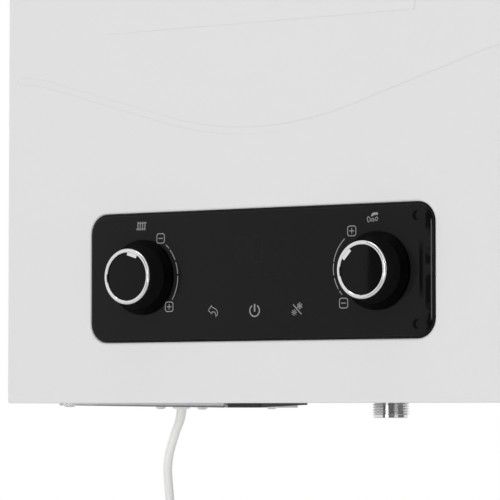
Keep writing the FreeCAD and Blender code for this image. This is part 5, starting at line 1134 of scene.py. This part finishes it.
class BOILER_OT_panel_marks(bpy.types.Operator):
    """The printed signs and scales of the control panel"""

    bl_idname = "boiler.panel_marks"
    bl_label = "Panel marks"

    def execute(self, context):
        marks = context.scene.boiler_marks
        signs = {
            "radiator_sign": self.radiator,
            "tap_sign": self.tap,
            "return_sign": self.return_arrow,
            "power_sign": self.power,
            "season_sign": self.season,
        }
        for name, draw in signs.items():
            sheet = Print(marks.stroke)
            draw(sheet)
            sheet.done(name, marks.film, FINISHES["ink"])
        for name, places in SCALES.items():
            self.scale(marks, name, **places)
        return {"FINISHED"}

    def scale(self, marks, name, middle, dashes, less, more):
        """The dashes round a knob, and the boxes with minus and plus at their ends."""
        sheet = Print(marks.stroke)
        for start, end in dashes:
            sheet.arc(at(middle), getattr(marks, name), start, end)
        reach = 1.55
        for spot in (less, more):
            sheet.box(at(spot), marks.box)
            sheet.bar(at(spot, -reach), at(spot, reach), rounded=False)
        stroke = marks.stroke / MM
        for side in (-1, 1):
            sheet.bar(at(more, 0, stroke * side), at(more, 0, reach * side), rounded=False)
        sheet.done(name, marks.film, FINISHES["ink"])

    def radiator(self, sheet):
        bars = (-2.9, -0.95, 1.0, 2.95)
        wide = 0.75 * MM
        for x in bars:
            sheet.bar(at(RADIATOR, x, -2.6), at(RADIATOR, x, 2.6), wide)
        for level, ends in ((-2.0, (-4.0, 2.4)), (2.0, (-2.4, 4.0))):
            sheet.bar(at(RADIATOR, ends[0], level), at(RADIATOR, ends[1], level), wide)

    def tap(self, sheet):
        wide = 1.6 * MM
        sheet.arc(at(TAP, 1.2, 0.6), 1.6 * MM, -90, 0, wide)
        sheet.bar(at(TAP, 2.0, 2.2), at(TAP, 3.2, 2.2), wide, rounded=False)
        left = [(-4.4, -0.2), (-3.2, 0.9), (-1.5, -0.9), (-1.5, -1.9), (-3.4, -3.4), (-4.0, -2.4)]
        right = [(1.5, -0.9), (3.2, 0.6), (4.2, -0.9), (3.3, -2.6), (1.5, -2.0)]
        for corners in (left, right):
            sheet.outline([at(TAP, *corner) for corner in corners], [0.25 * MM] * len(corners), 0.45 * MM)
        sheet.arc(at(TAP, 0, -1.6), 0.8 * MM, -100, 100, 0.5 * MM)
        sheet.bar(at(TAP, -1.1, -2.4), at(TAP, 1.1, -2.4), 0.5 * MM)

    def return_arrow(self, sheet):
        corners = [
            (-4.2, 0.4),
            (-0.9, 4.6),
            (-0.7, 2.6),
            (2.6, 1.6),
            (4.1, -1.1),
            (3.3, -3.1),
            (1.7, -4.4),
            (1.9, -2.0),
            (0.9, -0.8),
            (-0.7, -0.8),
            (-0.8, -2.4),
        ]
        rounds = [0.2, 0.15, 0.1, 1.6, 1.2, 0.5, 0.2, 0.6, 0.6, 0.1, 0.15]
        spots = [at(RETURN_ARROW, *corner) for corner in corners]
        sheet.outline(spots, [radius * MM for radius in rounds], 0.5 * MM)

    def power(self, sheet):
        sheet.arc(at(POWER), 3.8 * MM, 32, 328, 0.85 * MM)
        sheet.bar(at(POWER, 0, -0.2), at(POWER, 0, 3.9), 1.1 * MM)

    def season(self, sheet):
        thin = 0.55 * MM
        sheet.bar(at(SEASON, -2.9, 2.9), at(SEASON, 3.2, -3.1), 0.65 * MM)
        sun = at(SEASON, -2.3, -2.0)
        sheet.arc(sun, 0.75 * MM, 0, 360, thin)
        for n in range(8):
            way = way_at(n * TURN / 8)
            sheet.bar(sun + way * 1.45 * MM, sun + way * 2.0 * MM, thin * 0.8)
        snow = at(SEASON, 2.0, 2.2)
        for n in range(6):
            angle = n * TURN / 6 + TURN / 12
            way = way_at(angle)
            sheet.bar(snow + way * 0.5 * MM, snow + way * 1.9 * MM, thin)
            fork = snow + way * 1.45 * MM
            for turn in (-1, 1):
                side = way_at(angle + turn)
                sheet.bar(fork + side * 0.3 * MM, fork + side * 0.6 * MM, thin * 0.8)


class BOILER_OT_display(bpy.types.Operator):
    """The unlit figures behind the gloss panel, which hardly show"""

    bl_idname = "boiler.display"
    bl_label = "Display"

    def execute(self, context):
        film = context.scene.boiler_marks.film
        sheet = Print(1.6 * MM)
        for x in (-11, 1):
            self.figure(sheet, (x, 16.2), 8.4, 16.6)
        for x in (16.5, 26.5):
            sheet.box(at((x, 22.4)), 4.6 * MM)
            sheet.bar(at((x, 12.5), -2), at((x, 12.5), 2))
        for x in (0, 9, 18, 27):
            sheet.bar(at((x, -0.5), -1.5), at((x, -0.5), 1.5))
        sheet.done("display_figures", film / 2, FINISHES["ghost"])
        return {"FINISHED"}

    def figure(self, sheet, middle, wide, high):
        """Seven bars in the form of an eight."""
        gap = 1.3
        half = wide / 2
        for level in (-high / 2, 0, high / 2):
            sheet.bar(at(middle, gap - half, level), at(middle, half - gap, level))
        reach = high / 4 - gap
        for side in (-half, half):
            for level in (-high / 4, high / 4):
                sheet.bar(at(middle, side, level - reach), at(middle, side, level + reach))


# Threads, screws, nuts and seals


WIDE_CREST = 13.22 * MM
NARROW_CREST = 10.48 * MM
CONNECTION_PITCH = 65 * MM
TRAY_SCREWS = [(-147.5, -205, -681.92), (-111.5, -205, -682.36), (-39, -225, -682.02)]


class BOILER_OT_gas_stub(bpy.types.Operator):
    """The plated gas stub with its thread and collar"""

    bl_idname = "boiler.gas_stub"
    bl_label = "Gas stub"

    def execute(self, context):
        settings = context.scene.boiler_thread
        low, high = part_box("gas_stub")
        middle = (low + high) / 2
        foot = Matrix.Translation((middle.x, middle.y, low.z))
        collar = (high.x - low.x) / 2
        bore = WIDE_CREST - 3 * MM
        floor_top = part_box("floor_plate")[1].z - low.z
        height = high.z - low.z
        rim_top = 2.2 * MM
        chamfer = 0.5 * MM
        neck = WIDE_CREST - 0.9 * MM
        edge = 1 * MM
        shape = bmesh.new()
        thread(shape, WIDE_CREST, rim_top - 0.1 * MM, floor_top + 0.3 * MM, bore, settings, foot)
        rim = [
            (bore, rim_top),
            (bore, chamfer),
            (bore + 0.4 * MM, 0),
            (WIDE_CREST - 1.5 * MM, 0),
            (neck, chamfer),
            (neck, rim_top),
            (bore, rim_top),
        ]
        sides = [
            (bore, floor_top),
            (collar - edge, floor_top),
            (collar, floor_top + edge),
            (collar, height - edge),
            (collar - edge, height),
            (bore, height),
            (bore, floor_top),
        ]
        for profile in (rim, sides):
            lathe(shape, profile, settings.steps, foot)
        show(shape, "gas_stub_threaded", FINISHES["nickel"], "casing", ("gas_stub",))
        return {"FINISHED"}


class BOILER_OT_stub_threads(bpy.types.Operator):
    """The threads on the four water stubs"""

    bl_idname = "boiler.stub_threads"
    bl_label = "Water stub threads"

    def execute(self, context):
        settings = context.scene.boiler_thread
        gas = middle_of("gas_stub")
        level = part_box("flow_block")[0].z
        foot_gap = 1.4 * MM
        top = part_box("floor_plate")[1].z - 1.6 * MM - level
        proud, wall = 0.5 * MM, 2 * MM
        stubs = {-2: WIDE_CREST, -1: NARROW_CREST, 1: NARROW_CREST, 2: WIDE_CREST}
        shape = bmesh.new()
        for number, radius in stubs.items():
            foot = Matrix.Translation((gas.x + CONNECTION_PITCH * number, gas.y, level))
            thread(shape, radius + proud, foot_gap, top, radius - wall, settings, foot)
        show(shape, "water_stub_threads", FINISHES["brass"], "casing")
        return {"FINISHED"}


class BOILER_OT_screws(bpy.types.Operator):
    """The cross-headed screws of the cover, the tray and the chamber"""

    bl_idname = "boiler.screws"
    bl_label = "Screws"

    def execute(self, context):
        low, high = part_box("cover_screws")
        head = 4.4 * MM
        middle_y = (low.y + high.y) / 2
        spots = [(x, middle_y, UNDERSIDE) for x in (low.x + head, high.x - head)]
        sizes = (head, 2.6 * MM, 2 * MM, 9 * MM)
        self.group("cover_cross_screws", "cover", spots, FACING_DOWN, sizes, ("cover_screws",))
        spots = [Vector(spot) * MM for spot in TRAY_SCREWS]
        sizes = (3.6 * MM, 2.0 * MM, 1.6 * MM, 1.0 * MM)
        self.group("tray_cross_screws", "casing", spots, FACING_DOWN, sizes, ("tray_screws",))
        sizes = (4 * MM, 2.6 * MM, 1.8 * MM, 1.8 * MM)
        self.group("chamber_screws", "casing", self.chamber_spots(), FACING_FRONT, sizes)
        return {"FINISHED"}

    def chamber_spots(self):
        """Eight places round the rim of the chamber's lid."""
        low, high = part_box("chamber_cover")
        rim = 7 * MM
        level = low.y + 0.8 * MM
        spots = []
        for share_x in (0, 0.5, 1):
            for share_z in (0, 0.5, 1):
                if (share_x, share_z) == (0.5, 0.5):
                    continue
                x = low.x + rim + (high.x - low.x - 2 * rim) * share_x
                z = low.z + rim + (high.z - low.z - 2 * rim) * share_z
                spots.append((x, level, z))
        return spots

    def group(self, name, body, spots, facing, sizes, replaces=()):
        """Like screws as one piece: the head's radius and height, the shank's radius and length."""
        shape = bmesh.new()
        for spot in spots:
            cross_screw(shape, *sizes, Matrix.Translation(spot) @ facing)
        show(shape, name, FINISHES["bright_screw"], body, replaces)


class BOILER_OT_tap_grip(bpy.types.Operator):
    """The ribs and the pointer of the filling tap's knob"""

    bl_idname = "boiler.tap_grip"
    bl_label = "Filling tap grip"

    def execute(self, context):
        low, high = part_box("filling_tap")
        middle = (low + high) / 2
        radius = (high.x - low.x) / 2
        count = 18
        rib_low = Vector((radius - 0.6 * MM, -0.7 * MM, 1.6 * MM))
        rib_high = Vector((radius + 0.5 * MM, 0.7 * MM, 6.8 * MM))
        pointer_low = Vector((-1.2, -1.2, -1.0)) * MM
        pointer_high = Vector((7.6, 1.2, 0.3)) * MM
        shape = bmesh.new()
        for n in range(count):
            before = set(shape.verts)
            block(shape, rib_low, rib_high, 0.3 * MM, 1)
            turn = Matrix.Rotation(n * TURN / count, 4, "Z")
            bmesh.ops.transform(shape, matrix=turn, verts=since(shape, before))
        block(shape, pointer_low, pointer_high, 0.4 * MM)
        bmesh.ops.translate(shape, vec=(middle.x, middle.y, low.z), verts=shape.verts)
        show(shape, "filling_tap_grip", FINISHES["black_plastic"], "filling_tap")
        return {"FINISHED"}


class BOILER_OT_union_nuts(bpy.types.Operator):
    """The union nuts at the feet of the pipes"""

    bl_idname = "boiler.union_nuts"
    bl_label = "Union nuts"

    def execute(self, context):
        gas = middle_of("gas_stub")
        across, height = 24 * MM, 13 * MM
        spots = (
            (gas.x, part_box("gas_valve")[1].z),
            (gas.x - CONNECTION_PITCH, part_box("flow_block")[1].z),
        )
        shape = bmesh.new()
        for x, level in spots:
            hex_nut(shape, across, height, Matrix.Translation((x, gas.y, level)))
        show(shape, "union_nuts", FINISHES["brass"], "casing")
        return {"FINISHED"}


class BOILER_OT_seals(bpy.types.Operator):
    """The dark seal round the panel, and a dark strip of painted shade below the front edge of the terminal
    tray
    """

    bl_idname = "boiler.seals"
    bl_label = "Seals"

    def execute(self, context):
        self.panel_seal()
        self.tray_shade_strip()
        return {"FINISHED"}

    def panel_seal(self):
        """A band in the gap between the panel and the cover's cut-out."""
        size = panel_high - panel_low
        reach, wall, depth = 0.75 * MM, 0.7 * MM, 2.0 * MM
        corner = 12 * MM + reach
        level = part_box("front_cover")[0].y + 2.6 * MM
        seat = Matrix.Translation((0, level, PANEL_FACE.z)) @ FACING_FRONT
        outer = (size.x + 2 * reach, size.z + 2 * reach)
        shape = bmesh.new()
        rounded_band(shape, outer, corner, wall, depth, seat)
        show(shape, "panel_seal", FINISHES["ghost"], "casing")

    def tray_shade_strip(self):
        """A thin dark wedge of painted shade along the tray's front edge, which opens to the right: it
        stands where the tray's lower edge lies in shade.
        """
        low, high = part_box("terminal_tray")
        front = low.y - 0.3 * MM
        thickness = 1.0 * MM
        ends = ((low.x, UNDERSIDE - 1.3 * MM, 0.1 * MM), (high.x, low.z, 1.2 * MM))
        corners = [(x, front, foot) for x, foot, tall in ends]
        corners += [(x, front, foot + tall) for x, foot, tall in reversed(ends)]
        shape = bmesh.new()
        shape.faces.new([shape.verts.new(corner) for corner in corners])
        thicken(shape, list(shape.faces), (0, thickness, 0))
        show(shape, "tray_shade_strip", FINISHES["shade_strip"], "casing")


# Stage


def matt(name, colour, rough):
    """A plain matt material of the stage, with its node tree and its surface."""
    material = bpy.data.materials.new(name)
    material.use_nodes = True
    surface = material.node_tree.nodes["Principled BSDF"]
    surface.inputs["Base Color"].default_value = (*colour, 1)
    surface.inputs["Roughness"].default_value = rough
    return material, Tree(material.node_tree), surface


def mixed(tree, share, first, second):
    """A mix of two shaders by a share of the second."""
    mix = tree.add("ShaderNodeMixShader")
    tree.join(share, mix.inputs["Fac"])
    tree.join(first.outputs[0], mix.inputs[1])
    tree.join(second.outputs[0], mix.inputs[2])
    return mix.outputs[0]


class BOILER_OT_stage(bpy.types.Operator):
    """The floor, the lamps, the dark cards, the pale surround and the camera"""

    bl_idname = "boiler.stage"
    bl_label = "Stage"

    def execute(self, context):
        scene = context.scene
        scene.view_settings.view_transform = "Standard"
        self.camera(scene)
        self.surround(scene)
        self.floor(scene)
        light = scene.boiler_light
        lamps = {
            "key_lamp": ((0.4, -2.9, -0.7), 1.6, light.key),
            "left_lamp": ((-2.6, 0.9, 0.3), 1.4, light.fill),
            "right_lamp": ((2.8, 0.7, 0.3), 1.4, light.fill),
            "top_lamp": ((0.1, -0.4, 2.4), 1.4, light.top),
        }
        for name, values in lamps.items():
            self.lamp(scene, name, *values)
        cards = {
            "front_card": ((-0.306, -1.5, -0.55), 0, (0.568, 1.6)),
            "camera_card": ((1.385, -2.044, -0.6), 35.9, (1.85, 1.8)),
            "side_card": ((2.44, 0.62, -0.6), 104.5, (2.3, 1.8)),
        }
        for name, values in cards.items():
            self.dark_card(name, *values)
        return {"FINISHED"}

    def camera(self, scene):
        view = scene.boiler_view
        lens = bpy.data.cameras.new("camera")
        lens.lens = view.lens
        lens.sensor_width = 36
        lens.sensor_fit = "HORIZONTAL"
        lens.clip_start = 0.05
        camera = bpy.data.objects.new("camera", lens)
        camera.location = view.place
        camera.rotation_euler = (math.pi / 2 + view.lift, 0, view.turn)
        scene.collection.objects.link(camera)
        scene.camera = camera

    def surround(self, scene):
        """White to the camera, mirrors and glass, and a plain soft light on everything else."""
        world = scene.world or bpy.data.worlds.new("surround")
        scene.world = world
        world.use_nodes = True
        tree = Tree(world.node_tree)
        world.node_tree.nodes.clear()
        path = tree.add("ShaderNodeLightPath").outputs
        seen = tree.maths("MAXIMUM", path["Is Camera Ray"], path["Is Glossy Ray"])
        seen = tree.maths("MAXIMUM", seen, path["Is Transmission Ray"])
        soft = tree.add("ShaderNodeBackground")
        white = tree.add("ShaderNodeBackground")
        for background, strength in ((soft, scene.boiler_light.surround), (white, 1.0)):
            background.inputs["Color"].default_value = (1, 1, 1, 1)
            background.inputs["Strength"].default_value = strength
        shown = tree.add("ShaderNodeOutputWorld").inputs["Surface"]
        tree.join(mixed(tree, seen, soft, white), shown)

    def floor(self, scene):
        """A pale floor under the hanging lead that fades to white far from the boiler."""
        radius, fade_start, fade_end = 2.6, 1.3, 2.5
        near_glow = 0.25
        matrix = Matrix.Translation((0, 0, CAD_BOX[0].z - 5 * MM))
        shape = bmesh.new()
        bmesh.ops.create_circle(shape, cap_ends=True, radius=radius, segments=96, matrix=matrix)
        material, tree, surface = matt("floor", scene.boiler_light.floor, 0.9)
        away = tree.add("ShaderNodeVectorMath", operation="LENGTH")
        tree.join(tree.place(), away.inputs[0])
        far = tree.between(away.outputs["Value"], fade_start, fade_end, near_glow, 1.0)
        glow = tree.add("ShaderNodeEmission")
        shown = material.node_tree.nodes["Material Output"].inputs["Surface"]
        tree.join(mixed(tree, far, surface, glow), shown)
        place_shape(shape, "floor", material)

    def lamp(self, scene, name, place, size, power):
        """A soft square lamp that points at the boiler's middle."""
        light = bpy.data.lights.new(name, "AREA")
        light.shape = "SQUARE"
        light.size = size
        light.energy = power
        lamp = bpy.data.objects.new(name, light)
        lamp.location = place
        way = (CAD_BOX[0] + CAD_BOX[1]) / 2 - Vector(place)
        lamp.rotation_euler = way.to_track_quat("-Z", "Y").to_euler()
        scene.collection.objects.link(lamp)

    def dark_card(self, name, place, turn, size):
        """An upright dark card, turned from the front to the right, that only mirrors see."""
        matrix = Matrix.Translation(place) @ Matrix.Rotation(math.radians(turn), 4, "Z")
        matrix @= FACING_FRONT @ Matrix.Diagonal((*size, 1, 1))
        shape = bmesh.new()
        plate(shape, matrix)
        card = place_shape(shape, name, matt(name, (0.12, 0.12, 0.12), 1.0)[0])
        card.visible_camera = False
        card.visible_diffuse = False
        card.visible_transmission = False
        card.visible_shadow = False


# Panel and start


OPERATORS = (
    BOILER_OT_stage,
    BOILER_OT_finishes,
    BOILER_OT_mains_lead,
    BOILER_OT_panel_marks,
    BOILER_OT_display,
    BOILER_OT_seals,
    BOILER_OT_gas_stub,
    BOILER_OT_stub_threads,
    BOILER_OT_screws,
    BOILER_OT_tap_grip,
    BOILER_OT_union_nuts,
)


class BOILER_PT_parts(bpy.types.Panel):
    """Lists the boiler's pieces in the sidebar"""

    bl_idname = "BOILER_PT_parts"
    bl_label = "Wall boiler"
    bl_space_type = "VIEW_3D"
    bl_region_type = "UI"
    bl_category = "Boiler"

    def draw(self, context):
        for operator in OPERATORS:
            self.layout.operator(operator.bl_idname)


CLASSES = (*SETTINGS.values(), *OPERATORS, BOILER_PT_parts)


def register():
    for each in CLASSES:
        bpy.utils.register_class(each)
    for name, group in SETTINGS.items():
        setattr(bpy.types.Scene, name, PointerProperty(type=group))


def unregister():
    for name in SETTINGS:
        delattr(bpy.types.Scene, name)
    for each in reversed(CLASSES):
        bpy.utils.unregister_class(each)


def main():
    register()
    for operator in OPERATORS:
        group, name = operator.bl_idname.split(".")
        getattr(getattr(bpy.ops, group), name)()


if __name__ == "__main__":
    main()
